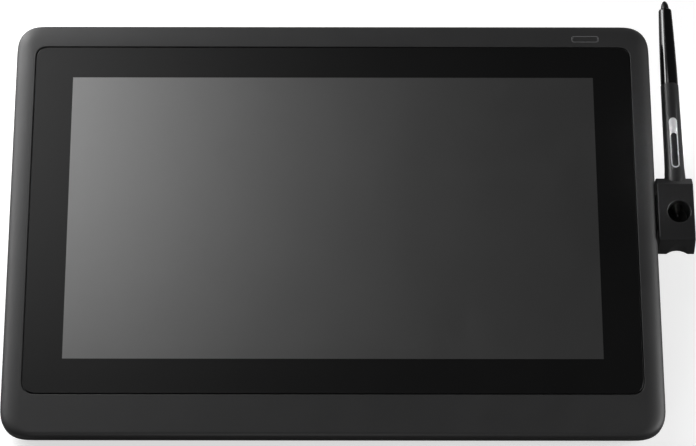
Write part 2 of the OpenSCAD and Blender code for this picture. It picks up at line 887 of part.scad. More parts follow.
module cable_recess(grown) {
    half = recess_w / 2 + grown;
    block([-half, half], [recess_y - grown, body_d + cut], [-cut, pocket_depth + grown]);
}

module cover_features() {
    for (side = [-1, 1]) {
        leg_pocket(side, pocket_wall);
        translate([side * leg_x, 0, 0])
            leg_pin_rod(leg_boss_r, leg_pin_len + 2 * pocket_wall);
    }
    at_each(cover_posts)
        rod(boss_r, -cut, seam_z + cut);
    cable_recess(pocket_wall);
    foot_pad = foot_bed + wall;
    block([-foot_len / 2, foot_len / 2], [0, foot_inset + foot_w + wall], [-cut, foot_pad]);
    for (side = [-1, 1])
        translate([side * rear_foot_x, body_d - rear_foot_inset, 0])
            rod(rear_foot_r + wall, -cut, foot_pad);
}

module lock_slot(at_y, depth) {
    translate([-lock_x, at_y, lock_z])
        cube([lock_w, depth, lock_h], center = true);
}

module rear_cover() {
    color(charcoal) stand() difference() {
        cover_body();
        difference() {
            cover_cavity();
            cover_features();
        }
        for (side = [-1, 1]) {
            leg_pocket(side, 0);
            translate([side * leg_x, 0, 0])
                leg_pin_rod(leg_pin_r + press_fit, leg_pin_len);
        }
        cable_recess(0);
        block(
            [-port_w / 2 - port_gap, port_w / 2 + port_gap],
            [recess_y - pocket_wall - cut, recess_y + cut],
            [port_z - port_gap, port_z + port_h + port_gap]
        );
        at_each(cover_posts) {
            rod(cover_head_r + screw_gap, -cut, head_seat);
            rod(cover_screw_r + screw_gap, 0, seam_z + cut);
        }
        block([-foot_len / 2, foot_len / 2], [foot_inset, foot_inset + foot_w], [-cut, foot_bed]);
        for (side = [-1, 1])
            translate([side * rear_foot_x, body_d - rear_foot_inset, 0])
                rod(rear_foot_r, -cut, foot_bed);
        lock_slot(body_d, 4 * under_back_w);
        for (side = [-1, 1], i = [0:vent_count - 1])
            translate([side * (vent_x + i * vent_pitch), body_d - vent_inset, wall / 2])
                cube([vent_w, vent_l, wall + 2 * cut], center = true);
    }
}

module cover_screws() {
    color(steel_grey) stand()
        at_each(cover_posts)
            translate([0, 0, head_seat])
                screw(cover_head_r, cover_head_t, cover_screw_r, cover_screw_l);
}

// Stand

module front_foot() {
    foot_y1 = foot_inset + foot_w;
    color(rubber_grey) stand()
        along_x(foot_len)
            polygon([
                [foot_inset, foot_bed],
                [foot_inset, foot_lip],
                [foot_slope_y, -foot_proud],
                [foot_y1, -foot_proud],
                [foot_y1, foot_bed]
            ]);
}

module rear_feet() {
    color(rubber_grey) stand()
        for (side = [-1, 1])
            translate([side * rear_foot_x, body_d - rear_foot_inset, 0])
                rod(rear_foot_r, -foot_proud, foot_bed);
}

// Opens a leg that is drawn folded about its hinge
module leg_pose(side) {
    stand()
        translate([side * leg_x, hinge_y, hinge_z])
            rotate([leg_open, 0, 0])
                children();
}

module leg_outline(from, to) {
    lean = leg_t / 2 * tan(tilt);
    polygon([
        [-from, -leg_t / 2],
        [-from, leg_t / 2],
        [-to + lean, leg_t / 2],
        [-to - lean, -leg_t / 2]
    ]);
}

module leg(side) {
    color(charcoal) leg_pose(side) difference() {
        union() {
            along_x(leg_w)
                leg_outline(0, leg_reach - pad_run);
            rotate([0, 90, 0])
                cylinder(d = leg_t, h = leg_w, center = true);
        }
        rotate([0, 90, 0])
            cylinder(r = leg_pin_r + leg_fit, h = leg_w + 2 * cut, center = true);
    }
}

module leg_pin(side) {
    color(steel_grey) stand()
        translate([side * leg_x, 0, 0])
            leg_pin_rod(leg_pin_r, leg_pin_len);
}

module leg_pad(side) {
    lean = leg_t / 2 * tan(tilt);
    near = leg_reach - pad_run;
    color(rubber_grey) leg_pose(side)
        along_x(leg_w - 2 * leg_pad_inset)
            polygon([
                [-near - lean, -leg_t / 2],
                [-near + lean, leg_t / 2],
                [-leg_reach + lean, leg_t / 2],
                [-leg_reach - lean, -leg_t / 2]
            ]);
}

module left_leg() {
    leg(-1);
}

module right_leg() {
    leg(1);
}

module left_leg_pin() {
    leg_pin(-1);
}

module right_leg_pin() {
    leg_pin(1);
}

module left_leg_pad() {
    leg_pad(-1);
}

module right_leg_pad() {
    leg_pad(1);
}

module lock_plate() {
    half = lock_w / 2 + lock_plate_side;
    color(steel_grey) stand() difference() {
        block(
            [-lock_x - half, -lock_x + half],
            [lock_plate_y - lock_plate_t, lock_plate_y],
            [lock_plate_z, lock_z + lock_h / 2 + lock_plate_rim]
        );
        lock_slot(lock_plate_y, 4 * lock_plate_t);
    }
}

// Screen stack

module cover_glass() {
    color(glass_black) stand()
        translate([0, glass_mid, glass_z])
            linear_extrude(glass_t)
                rounded_rect(glass_w, glass_d, glass_r);
}

module lcd_cell() {
    color(screen_grey) stand()
        plate(module_w - 2 * cell_margin, module_mid, module_d - 2 * cell_margin, cell_z, cell_t);
}

module tray_well(z0, z1) {
    block(
        [-module_w / 2 + tray_wall, module_w / 2 - tray_wall],
        [module_y0 + tray_wall, module_y0 + module_d - tray_wall],
        [z0, z1]
    );
}

module backlight_tray() {
    color(steel_grey) stand() difference() {
        plate(module_w, module_mid, module_d, tray_z, tray_t);
        tray_well(tray_z + tray_floor, cell_z + cut);
    }
}

module light_guide() {
    edge = tray_wall + stack_gap;
    color(light_white) stand()
        block(
            [-module_w / 2 + edge, module_w / 2 - edge],
            [module_y0 + tray_wall + led_channel, module_y0 + module_d - edge],
            [tray_z + tray_floor, cell_z]
        );
}

module led_strip() {
    half = module_w / 2 - tray_wall - led_strip_end;
    y0 = module_y0 + tray_wall;
    color(light_white) stand()
        block([-half, half], [y0, y0 + led_strip_t], [tray_z + tray_floor, cell_z - stack_gap]);
}

module panel_board() {
    y0 = module_y0 + panel_board_edge;
    color(board_green) stand()
        block(
            [-panel_board_w / 2, panel_board_w / 2],
            [y0, y0 + panel_board_d],
            [tray_z - panel_board_t, tray_z]
        );
}

module sensor_board() {
    color(board_green) stand()
        plate(sensor_w, active_mid, sensor_d, sensor_z, sensor_t);
}

module flex_opening(x, y, w) {
    block(
        [x - w / 2 - flex_side_room, x + w / 2 + flex_side_room],
        [y - flex_slot / 2, y + flex_slot / 2],
        [chassis_z - cut, sensor_z]
    );
}

module shield_sheet() {
    color(copper) stand() difference() {
        plate(sensor_w, active_mid, sensor_d, shield_z, shield_t);
        flex_opening(sensor_flex_x, sensor_flex_y, sensor_flex_w);
    }
}

module chassis_plate() {
    color(steel_grey) stand() difference() {
        union() {
            plate(chassis_w, glass_mid, chassis_d, chassis_z, chassis_t);
            at_each(board_screws_at)
                rod(standoff_r, board_top, chassis_z + chassis_t / 2);
        }
        flex_opening(0, display_flex_y, display_flex_w);
        flex_opening(sensor_flex_x, sensor_flex_y, sensor_flex_w);
        at_each(chassis_posts)
            rod(small_screw_r + screw_gap, chassis_z - cut, chassis_z + chassis_t + cut);
        at_each(board_screws_at)
            rod(small_screw_r + thread_gap, board_top - cut, board_z + small_screw_l + screw_gap);
    }
}

module chassis_screws() {
    color(silver) stand()
        at_each(chassis_posts)
            translate([0, 0, chassis_z])
                screw(small_head_r, small_head_t, small_screw_r, small_screw_l);
}

// Electronics

module main_board() {
    color(board_green) stand() difference() {
        block([-board_w / 2, board_w / 2], [board_y0, board_y1], [board_z, board_top]);
        at_each(board_screws_at)
            rod(small_screw_r + screw_gap, board_z - cut, board_top + cut);
    }
}

module board_chips() {
    middle = (board_y0 + board_y1) / 2;
    color(soft_black) stand()
        for (chip = chips)
            translate([chip[0].x - chip[1] / 2, middle + chip[0].y - chip[2] / 2, board_z - chip[3]])
                cube([chip[1], chip[2], chip[3]]);
}

module board_screws() {
    color(silver) stand()
        at_each(board_screws_at)
            translate([0, 0, board_z])
                screw(small_head_r, small_head_t, small_screw_r, small_screw_l);
}

module cable_port() {
    mouth = recess_y + port_proud;
    inner_w = port_w - 2 * port_wall;
    tongue_w = inner_w - 2 * port_tongue_side;
    tongue_z = port_z + (port_h - port_tongue_t) / 2;
    color(steel_grey) stand() {
        difference() {
            block([-port_w / 2, port_w / 2], [port_y0, mouth], [port_z, board_z]);
            block(
                [-inner_w / 2, inner_w / 2],
                [port_y0 + port_back_wall, mouth + cut],
                [port_z + port_wall, board_z - port_wall]
            );
        }
        block(
            [-tongue_w / 2, tongue_w / 2],
            [port_y0 + port_back_wall / 2, mouth - port_tongue_back],
            [tongue_z, tongue_z + port_tongue_t]
        );
    }
}

// A flat cable that drops from a board, runs under the chassis plate and drops onto the main board
module dropped_flex(w, from_y, from_z, to_y) {
    to_far = to_y > from_y ? flex_t : -flex_t;
    from_far = to_y > from_y ? -flex_t : flex_t;
    along_x(w)
        polygon([
            [from_y, from_z],
            [from_y + from_far, from_z],
            [from_y + from_far, flex_z],
            [to_y, flex_z],
            [to_y, board_top],
            [to_y + to_far, board_top],
            [to_y + to_far, flex_z + flex_t],
            [from_y, flex_z + flex_t]
        ]);
}

module display_flex() {
    color(film_amber) stand()
        dropped_flex(display_flex_w, display_flex_y, tray_z - panel_board_t, board_y0 + flex_landing);
}

module sensor_flex() {
    color(film_amber) stand()
        translate([sensor_flex_x, 0, 0])
            dropped_flex(sensor_flex_w, sensor_flex_y, sensor_z, board_y1 - flex_landing);
}

module power_flex() {
    start_x = button_x - power_post_x + power_post_r + flex_post_gap;
    run_y = back_post_y - post_r - flex_run_gap - power_flex_w;
    land_x = power_flex_x + power_flex_w;
    land_y = board_y1 - flex_landing;
    top = power_board_z;
    color(film_amber) stand() {
        block([start_x, start_x + power_flex_w], [run_y, button_y - small_head_r], [top - flex_t, top]);
        block([power_flex_x, start_x + power_flex_w], [run_y, run_y + power_flex_w], [top - flex_t, top]);
        block([power_flex_x, land_x], [land_y, run_y + power_flex_w], [top - flex_t, top]);
        block([power_flex_x, land_x], [land_y, land_y + flex_t], [board_top, top]);
    }
}

module power_button() {
    color(soft_black) stand()
        translate([button_x, button_y, 0]) {
            translate([0, 0, flange_z + flange_t / 2])
                linear_extrude(button_top - flange_z - flange_t / 2)
                    rounded_rect(button_w, button_d, ring_r - ring_wall - button_gap);
            translate([0, 0, flange_z])
                linear_extrude(flange_t)
                    rounded_rect(flange_w, flange_d, ring_r - ring_wall);
        }
}

module power_ring() {
    color(light_white) stand()
        translate([button_x, button_y, ring_z])
            linear_extrude(ring_h)
                difference() {
                    rounded_rect(ring_w, ring_d, ring_r);
                    rounded_rect(ring_w - 2 * ring_wall, ring_d - 2 * ring_wall, ring_r - ring_wall);
                }
}

module power_plunger() {
    color(soft_black) stand()
        translate([button_x, button_y, 0])
            rod(plunger_r, switch_z + switch_floor + button_travel + plunger_rest, flange_z);
}

module power_switch() {
    color(silver) stand()
        translate([button_x, button_y, 0])
            difference() {
                translate([-switch_w / 2, -switch_w / 2, switch_z])
                    cube([switch_w, switch_w, switch_h]);
                rod(plunger_r + plunger_gap, switch_z + switch_floor, switch_z + switch_h + cut);
            }
}

module power_led() {
    color(light_white) stand()
        translate([button_x + switch_w / 2 + led_gap, button_y + led_gap, switch_z])
            cube(led_size);
}

module power_board() {
    color(board_green) stand() difference() {
        block(
            [button_x - power_board_w / 2, button_x + power_board_w / 2],
            [button_y - power_board_d / 2, button_y + power_board_d / 2],
            [power_board_z, power_board_z + power_board_t]
        );
        for (side = [-1, 1])
            translate([button_x + side * power_post_x, button_y, 0])
                rod(small_screw_r + screw_gap, power_board_z - cut, power_board_z + power_board_t + cut);
    }
}

module power_board_screws() {
    color(silver) stand()
        for (side = [-1, 1])
            translate([button_x + side * power_post_x, button_y, power_board_z])
                screw(small_head_r, small_head_t, small_screw_r, small_screw_l);
}

// Pen holder

// Places a pen drawn upright from its tip, with its side switch towards -y
module pen_pose() {
    stand()
        translate([pen_x, pen_y, pen_z])
            rotate([0, 0, pen_lean])
                rotate([-90, 0, 0])
                    children();
}

module turned(outline) {
    rotate_extrude()
        polygon(outline);
}

// The holder's outline at a height, spread at its outer side and front end
module holder_level(side_spread, front_spread, z) {
    w = holder_w + side_spread;
    l = holder_l + front_spread;
    translate([holder_x + w / 2, holder_y + holder_l - l / 2, z])
        linear_extrude(level_t)
            rounded_rect(w, l, holder_r);
}

module holder_block() {
    hull() {
        holder_level(holder_side_spread, holder_front_spread, holder_z0);
        holder_level(0, 0, holder_z1 - level_t);
    }
}

module holder_tongue() {
    slot_outline()
        translate([half_w + holder_gap - tongue_d / 2, 0, 0])
            cube([tongue_d + 2 * holder_gap, tongue_l, tongue_t], center = true);
}

module holder_cuts() {
    back_y = holder_y + holder_l;
    translate([holder_x + holder_w / 2, back_y, holder_z1])
        rotate([45, 0, 0])
            cube([holder_w + 2 * cut, holder_chamfer * sqrt(2), holder_chamfer * sqrt(2)], center = true);
    difference() {
        block(
            [holder_x - cut, holder_x + holder_w + cut],
            [holder_y - cut, holder_y + holder_front_r],
            [holder_z1 - holder_front_r, holder_z1 + cut]
        );
        translate([holder_x + holder_w / 2, holder_y + holder_front_r, holder_z1 - holder_front_r])
            rotate([0, 90, 0])
                cylinder(r = holder_front_r, h = holder_w + 4 * cut, center = true);
    }
    scoop_lean = atan((scoop_d - holder_front_spread) / (holder_t - scoop_top));
    translate([pen_x, holder_y - holder_front_spread + scoop_d - scoop_r, holder_z0])
        rotate([scoop_lean, 0, 0])
            cylinder(r = scoop_r, h = 3 * holder_t, center = true);
    translate([pen_x, holder_y + well_y, holder_z1 - well_depth])
        cylinder(r = well_r, h = well_depth + cut);
}

module pen_bore() {
    translate([pen_x, pen_y, pen_z])
        rotate([0, 0, pen_lean])
            rotate([-90, 0, 0])
                turned([
                    [0, -nib_pocket],
                    [nose_r + seat_gap, -nib_pocket],
                    [nose_r + seat_gap, nose_s],
                    [grip_front_r + seat_gap, grip_s],
                    [bore_r, bulge_at - bore_lead],
                    [bore_r, 2 * holder_l],
                    [0, 2 * holder_l]
                ]);
}

module pen_holder() {
    color(soft_black) stand() difference() {
        union() {
            holder_block();
            holder_tongue();
        }
        holder_cuts();
        pen_bore();
    }
}

// Pen, turned about its axis from the nib's tip upwards

module pen_nib() {
    color(soft_black) pen_pose() {
        translate([0, 0, nib_r])
            sphere(nib_r);
        rod(nib_r, nib_r, nib_end);
    }
}

module pen_nose() {
    spigot_end = grip_s + nose_spigot;
    bore = nib_r + nose_bore_gap;
    color(soft_black) pen_pose()
        turned([
            [bore, nose_s],
            [nose_r, nose_s],
            [grip_front_r, grip_s],
            [core_r, grip_s],
            [core_r, spigot_end],
            [nose_cavity_r, spigot_end],
            [nose_cavity_r, nose_cavity_s],
            [bore, nose_cavity_s - nose_wall]
        ]);
}

module pen_ferrite() {
    inner = nib_r + ferrite_gap;
    color(soft_black) pen_pose()
        turned([
            [inner, nose_cavity_s + coil_in_nose],
            [inner + ferrite_wall, nose_cavity_s + coil_in_nose],
            [inner + ferrite_wall, grip_s + nose_spigot],
            [inner, grip_s + nose_spigot]
        ]);
}

module pen_coil() {
    inner = nib_r + ferrite_gap + ferrite_wall + coil_fit;
    color(copper) pen_pose()
        turned([
            [inner, nose_cavity_s + coil_end],
            [inner + coil_wall, nose_cavity_s + coil_end],
            [inner + coil_wall, grip_s + nose_spigot - coil_end],
            [inner, grip_s + nose_spigot - coil_end]
        ]);
}

module pen_core_tube() {
    start = grip_s + nose_spigot;
    end = barrel_s + core_spigot;
    inner = core_r - core_wall;
    color(soft_black) pen_pose()
        turned([[inner, start], [core_r, start], [core_r, end], [inner, end]]);
}

module pen_pressure_sensor() {
    outer = core_r - core_wall - grip_fit;
    color(silver) pen_pose()
        difference() {
            rod(outer, sensor_s, sensor_s + pen_sensor_l);
            rod(nib_r + nose_bore_gap, sensor_s - cut, nib_end + nib_travel + nib_free);
        }
}

module pen_board() {
    board_half = core_r - core_wall - pen_board_gap;
    start = sensor_s + pen_sensor_l;
    color(board_green) pen_pose()
        block(
            [-board_half, board_half],
            [-pen_board_half_t, pen_board_half_t],
            [start, barrel_s + core_spigot - pen_board_end]
        );
}

// A side switch outline raised out of the pen's axis, towards the switch
module switch_prism(middle, l, w, base) {
    translate([0, -base, middle])
        rotate([90, 90, 0])
            linear_extrude(2 * bulge_r)
                capsule(l, w);
}

module switch_form(proud) {
    s0 = rocker_s - cut;
    s1 = rocker_s + rocker_frame_l + cut;
    translate([0, 0, s0])
        cylinder(r1 = grip_radius(s0) + proud, r2 = grip_radius(s1) + proud, h = s1 - s0);
}

module pen_grip() {
    inner = core_r + grip_fit;
    color(rubber_grey) pen_pose() difference() {
        turned([
            [inner, grip_s],
            [grip_front_r, grip_s],
            [bulge_r, bulge_at],
            [neck_r, neck_at],
            [grip_back_r, barrel_s],
            [inner, barrel_s]
        ]);
        switch_prism(rocker_frame_mid, rocker_frame_l + 2 * grip_fit, rocker_frame_w + 2 * grip_fit, 0);
    }
}

module pen_switch_frame() {
    color(silver) pen_pose() difference() {
        intersection() {
            switch_prism(rocker_frame_mid, rocker_frame_l, rocker_frame_w, 0);
            switch_form(frame_proud);
        }
        cylinder(r = core_r + grip_fit, h = 2 * barrel_s);
        switch_prism(rocker_mid, rocker_hole_l, rocker_hole_w, 0);
        translate([0, -rocker_pin_at, rocker_mid])
            rotate([0, 90, 0])
                cylinder(r = rocker_pin_r + press_fit, h = 2 * bulge_r, center = true);
    }
}

module pen_side_switch() {
    color(soft_black) pen_pose() difference() {
        intersection() {
            switch_prism(rocker_mid, rocker_l, rocker_w, rocker_base);
            switch_form(frame_proud + rocker_proud);
        }
        translate([0, -rocker_pin_at, rocker_mid])
            rotate([0, 90, 0])
                cylinder(r = rocker_pin_r + rocker_pin_fit, h = 2 * bulge_r, center = true);
    }
}

module pen_switch_pin() {
    color(steel_grey) pen_pose()
        translate([0, -rocker_pin_at, rocker_mid])
            rotate([0, 90, 0])
                cylinder(r = rocker_pin_r, h = rocker_frame_w - 2 * rocker_pin_inset, center = true);
}

module pen_barrel() {
    inner = core_r + grip_fit;
    socket_end = barrel_s + core_spigot + core_end_gap;
    throat = eraser_r + eraser_gap;
    outer = [
        for (i = [0:barrel_steps])
            let (t = i / barrel_steps)
            [barrel_radius(t), barrel_s + t * barrel_l]
    ];
    bore = [
        [throat, barrel_end],
        [throat, barrel_end - barrel_lip],
        [barrel_back_r - barrel_wall + barrel_ease, barrel_end - barrel_lip - barrel_lead],
        [core_r - barrel_ease, socket_end],
        [inner, socket_end],
        [inner, barrel_s]
    ];
    color(gloss_black) pen_pose()
        turned(concat(outer, bore));
}

module pen_eraser() {
    dome = pen_end - eraser_r;
    base = barrel_end - eraser_body_l;
    color(soft_black) pen_pose() {
        rod(eraser_r, base, dome);
        translate([0, 0, dome])
            sphere(eraser_r);
        rod(eraser_stem_r, base - eraser_stem_l, base + cut);
    }
}

module pen_eraser_sensor() {
    stem_end = barrel_end - eraser_body_l - eraser_stem_l;
    top = stem_end + eraser_stem_in;
    color(silver) pen_pose()
        difference() {
            rod(eraser_sensor_r, top - eraser_sensor_l, top);
            rod(eraser_stem_r + eraser_gap, stem_end - eraser_travel - eraser_free, top + cut);
        }
}

front_bezel();
rear_cover();
cover_screws();
front_foot();
rear_feet();
left_leg();
right_leg();
left_leg_pin();
right_leg_pin();
left_leg_pad();
right_leg_pad();
lock_plate();
cover_glass();
lcd_cell();
light_guide();
led_strip();
backlight_tray();
panel_board();
sensor_board();
shield_sheet();
chassis_plate();
chassis_screws();
main_board();
board_chips();
board_screws();
cable_port();
display_flex();
sensor_flex();
power_flex();
power_button();
power_ring();
power_plunger();
power_switch();
power_led();
power_board();
power_board_screws();
pen_holder();
pen_barrel();
pen_grip();
pen_nose();
pen_nib();
pen_eraser();
pen_switch_frame();
pen_side_switch();
pen_switch_pin();
pen_core_tube();
pen_board();
pen_coil();
pen_ferrite();
pen_pressure_sensor();
pen_eraser_sensor();
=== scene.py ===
"""Looks of a drawing tablet with a screen, its fold-out legs, its pen and the pen's holder.

Pieces are drawn in millimetres on the tablet lying flat: x runs right from its middle, y runs back from
its front edge and z runs up from its rear face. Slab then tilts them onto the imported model.
"""

import json
import logging
import math
from collections.abc import Callable, Iterable, Sequence
from dataclasses import dataclass
from enum import Enum

import bmesh
import bpy
from mathutils import Matrix, Vector


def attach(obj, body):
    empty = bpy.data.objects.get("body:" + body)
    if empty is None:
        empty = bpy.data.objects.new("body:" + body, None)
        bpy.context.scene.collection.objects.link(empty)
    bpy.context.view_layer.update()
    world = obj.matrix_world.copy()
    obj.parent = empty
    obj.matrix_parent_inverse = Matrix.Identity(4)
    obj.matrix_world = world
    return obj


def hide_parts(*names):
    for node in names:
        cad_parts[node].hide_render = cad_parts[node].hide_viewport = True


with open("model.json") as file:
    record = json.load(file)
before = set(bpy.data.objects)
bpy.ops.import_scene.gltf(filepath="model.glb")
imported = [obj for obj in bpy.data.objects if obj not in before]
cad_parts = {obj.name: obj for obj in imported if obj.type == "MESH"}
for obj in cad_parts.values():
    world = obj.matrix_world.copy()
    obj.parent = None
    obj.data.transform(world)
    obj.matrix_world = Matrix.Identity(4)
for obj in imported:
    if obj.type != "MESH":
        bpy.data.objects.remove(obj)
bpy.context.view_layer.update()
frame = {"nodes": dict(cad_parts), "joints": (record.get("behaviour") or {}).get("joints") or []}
MM = 0.001
WELD = 1e-4
OVER = 1.0
CORNER_SHARE = 0.49
WHITE = (1.0, 1.0, 1.0, 1.0)
LOG = logging.getLogger("tablet")

Ring = list[Vector]
Flat = list[tuple[float, float]]
Corner = tuple[float, float, float]
Colour = tuple[float, float, float]


class Body(Enum):
    """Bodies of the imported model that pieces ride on."""

    TABLET = "tablet"
    BUTTON = "power_button"
    LEFT_LEG = "left_leg"
    RIGHT_LEG = "right_leg"
    HOLDER = "pen_holder"
    PEN = "pen"
    NIB = "pen_nib"
    ERASER = "pen_eraser"
    ROCKER = "pen_side_switch"


class Carve(Enum):
    """Ways to work one form with another."""

    CUT = "DIFFERENCE"
    JOIN = "UNION"


class Side(Enum):
    """Sides of the tablet, as signs of x."""

    LEFT = -1
    RIGHT = 1


def filleted(corners: Sequence[Corner], closed: bool = True, steps: int = 5) -> Flat:
    """Rounds the corners of a flat line.

    Args:
        corners: each corner's two places and its radius.
        closed: whether the line comes back to its start.
        steps: stretches in each rounded corner.

    Returns:
        The points of the rounded line.
    """
    line: Flat = []
    count = len(corners)
    for i, (x, y, radius) in enumerate(corners):
        here = Vector((x, y))
        ends = not closed and i in (0, count - 1)
        if ends or radius <= 0:
            line.append((x, y))
            continue
        before = Vector(corners[i - 1][:2]) - here
        after = Vector(corners[(i + 1) % count][:2]) - here
        half = before.angle(after) / 2
        run = min(radius / math.tan(half), CORNER_SHARE * before.length, CORNER_SHARE * after.length)
        start = here + before.normalized() * run
        stop = here + after.normalized() * run
        middle = here + (before.normalized() + after.normalized()).normalized() * run / math.cos(half)
        reach = (start - middle).length
        for step in range(steps + 1):
            arm = (start - middle).slerp(stop - middle, step / steps) * reach
            line.append(tuple(middle + arm))
    return line


def rounded_rect(x: float, y: float, width: float, depth: float, radius: float, steps: int = 6) -> Flat:
    """Outline of a rectangle with round corners about a middle point.

    Args:
        x: the middle's first place.
        y: the middle's second place.
        width: its whole width.
        depth: its whole depth.
        radius: the corners' radius.
        steps: stretches in each corner.

    Returns:
        The outline's points.
    """
    w, d = width / 2, depth / 2
    corners = ((x + w, y + d), (x - w, y + d), (x - w, y - d), (x + w, y - d))
    return filleted([(*corner, radius) for corner in corners], steps=steps)


def circle(x: float, y: float, radius: float, steps: int) -> Flat:
    """Outline of a circle about a middle point."""
    turns = [math.tau * i / steps for i in range(steps)]
    return [(x + radius * math.cos(t), y + radius * math.sin(t)) for t in turns]


def capsule(middle: float, length: float, width: float, steps: int = 14) -> Flat:
    """Outline of a slot with round ends, as places along and across it.

    Args:
        middle: the slot's middle along its run.
        length: its whole length.
        width: its whole width.
        steps: stretches in each round end.

    Returns:
        The outline's points.
    """
    radius = width / 2
    run = length / 2 - radius
    line: Flat = []
    for end, start in ((1, -90), (-1, 90)):
        for i in range(steps + 1):
            turn = math.radians(start + 180 * i / steps)
            line.append((middle + end * run + radius * math.cos(turn), radius * math.sin(turn)))
    return line


class Form:
    """A closed mesh in the making, in millimetres."""

    def __init__(self) -> None:
        """Starts with nothing."""
        self.bm = bmesh.new()

    @classmethod
    def loft(
        cls, rings: Sequence[Ring], looped: bool = False, caps: tuple[bool, bool] = (True, True)
    ) -> "Form":
        """Skins a row of rings that have as many points each.

        Args:
            rings: the rings in order.
            looped: whether the last ring joins the first, with no caps.
            caps: whether the first and the last ring are filled.

        Returns:
            The skinned form.
        """
        form = cls()
        rows = [[form.bm.verts.new(p) for p in ring] for ring in rings]
        following = rows[1:] + (rows[:1] if looped else [])
        for low, high in zip(rows, following):
            for i, corner in enumerate(low):
                form.bm.faces.new((low[i - 1], corner, high[i], high[i - 1]))
        for row, capped in zip((rows[0], rows[-1]), caps):
            if capped and not looped:
                form.bm.faces.new(row)
        return form.welded()

    @classmethod
    def turned(cls, profile: Flat, closed: bool = True, steps: int = 64) -> "Form":
        """Turns a profile of radius and height about the upright axis.

        Args:
            profile: the profile's points.
            closed: whether the profile is a loop round a hollow middle.
            steps: facets round the axis.

        Returns:
            The turned form.
        """
        rings = [[Vector((x, y, z)) for x, y in circle(0, 0, r, steps)] for r, z in profile]
        return cls.loft(rings, looped=closed, caps=(False, False))

    @classmethod
    def prism(cls, outline: Flat, low: float, high: float) -> "Form":
        """Stands an outline up between two heights."""
        return cls.loft([[Vector((x, y, z)) for x, y in outline] for z in (low, high)])

    @classmethod
    def along_x(cls, outline: Flat, low: float, high: float) -> "Form":
        """Draws an outline of y and z out from one x to another."""
        return cls.loft([[Vector((x, y, z)) for y, z in outline] for x in (low, high)])

    @classmethod
    def block(cls, low: Sequence[float], high: Sequence[float]) -> "Form":
        """A box between two corners."""
        outline = [(low[0], low[1]), (high[0], low[1]), (high[0], high[1]), (low[0], high[1])]
        return cls.prism(outline, low[2], high[2])

    @classmethod
    def rod(cls, x: float, y: float, radius: float, low: float, high: float, steps: int = 40) -> "Form":
        """An upright cylinder."""
        return cls.prism(circle(x, y, radius, steps), low, high)

    @classmethod
    def together(cls, forms: Iterable["Form"]) -> "Form":
        """Several forms as one, without joining their skins.

        Args:
            forms: the forms.

        Returns:
            A new form.
        """
        whole = cls()
        for form in forms:
            mesh = bpy.data.meshes.new("part")
            form.bm.to_mesh(mesh)
            whole.bm.from_mesh(mesh)
            bpy.data.meshes.remove(mesh)
        return whole

    def welded(self) -> "Form":
        """Merges points that coincide and turns the faces outwards.

        Returns:
            The same form.
        """
        bmesh.ops.remove_doubles(self.bm, verts=self.bm.verts, dist=WELD)
        bmesh.ops.dissolve_degenerate(self.bm, dist=WELD, edges=self.bm.edges)
        bmesh.ops.recalc_face_normals(self.bm, faces=self.bm.faces)
        return self

    def moved(self, matrix: Matrix) -> "Form":
        """Moves the form."""
        self.bm.transform(matrix)
        return self

    def bevelled(self, width: float, segments: int = 3, sharper_than: float = 40.0) -> "Form":
        """Rounds every edge that is sharper than an angle.

        Args:
            width: how far the rounding reaches on each face.
            segments: strips across the rounding.
            sharper_than: the least angle between faces, in degrees.

        Returns:
            The same form, rounded.
        """
        least = math.radians(sharper_than)
        edges = [e for e in self.bm.edges if len(e.link_faces) == 2 and e.calc_face_angle() > least]
        bmesh.ops.bevel(
            self.bm,
            geom=edges,
            offset=width,
            segments=segments,
            profile=0.5,
            affect="EDGES",
            clamp_overlap=True,
        )
        return self.welded()

    def carved(self, how: Carve, tools: Iterable["Form"]) -> "Form":
        """Cuts other forms out of this one, or joins them to it.

        Args:
            how: the way to work it.
            tools: the other forms.

        Returns:
            A new form.
        """
        blank = self.as_object("blank")
        tool = Form.together(tools).as_object("tool")
        work = blank.modifiers.new("carve", "BOOLEAN")
        work.operation = how.value
        work.solver = "EXACT"
        work.use_self = True
        work.object = tool
        graph = bpy.context.evaluated_depsgraph_get()
        mesh = bpy.data.meshes.new_from_object(blank.evaluated_get(graph))
        made = Form()
        made.bm.from_mesh(mesh)
        for spare in (blank, tool):
            old = spare.data
            bpy.data.objects.remove(spare)
            bpy.data.meshes.remove(old)
        bpy.data.meshes.remove(mesh)
        return made.welded()

    def as_object(self, name: str) -> bpy.types.Object:
        """Makes a linked mesh object of the form.

        Args:
            name: the object's name.

        Returns:
            The object.
        """
        mesh = bpy.data.meshes.new(name)
        self.bm.to_mesh(mesh)
        made = bpy.data.objects.new(name, mesh)
        bpy.context.scene.collection.objects.link(made)
        return made


def flared(outline: Callable[[float], Flat], high: float, flare: float) -> Form:
    """A cutter that comes up through the rear face, with a mouth that widens there.

    Args:
        outline: gives the outline grown by an amount.
        high: the height that the cut reaches.
        flare: how far the mouth widens.

    Returns:
        The cutter.
    """
    steps = ((-OVER, flare), (0.0, flare), (flare, 0.0), (high, 0.0))
    return Form.loft([[Vector((x, y, z)) for x, y in outline(grown)] for z, grown in steps])


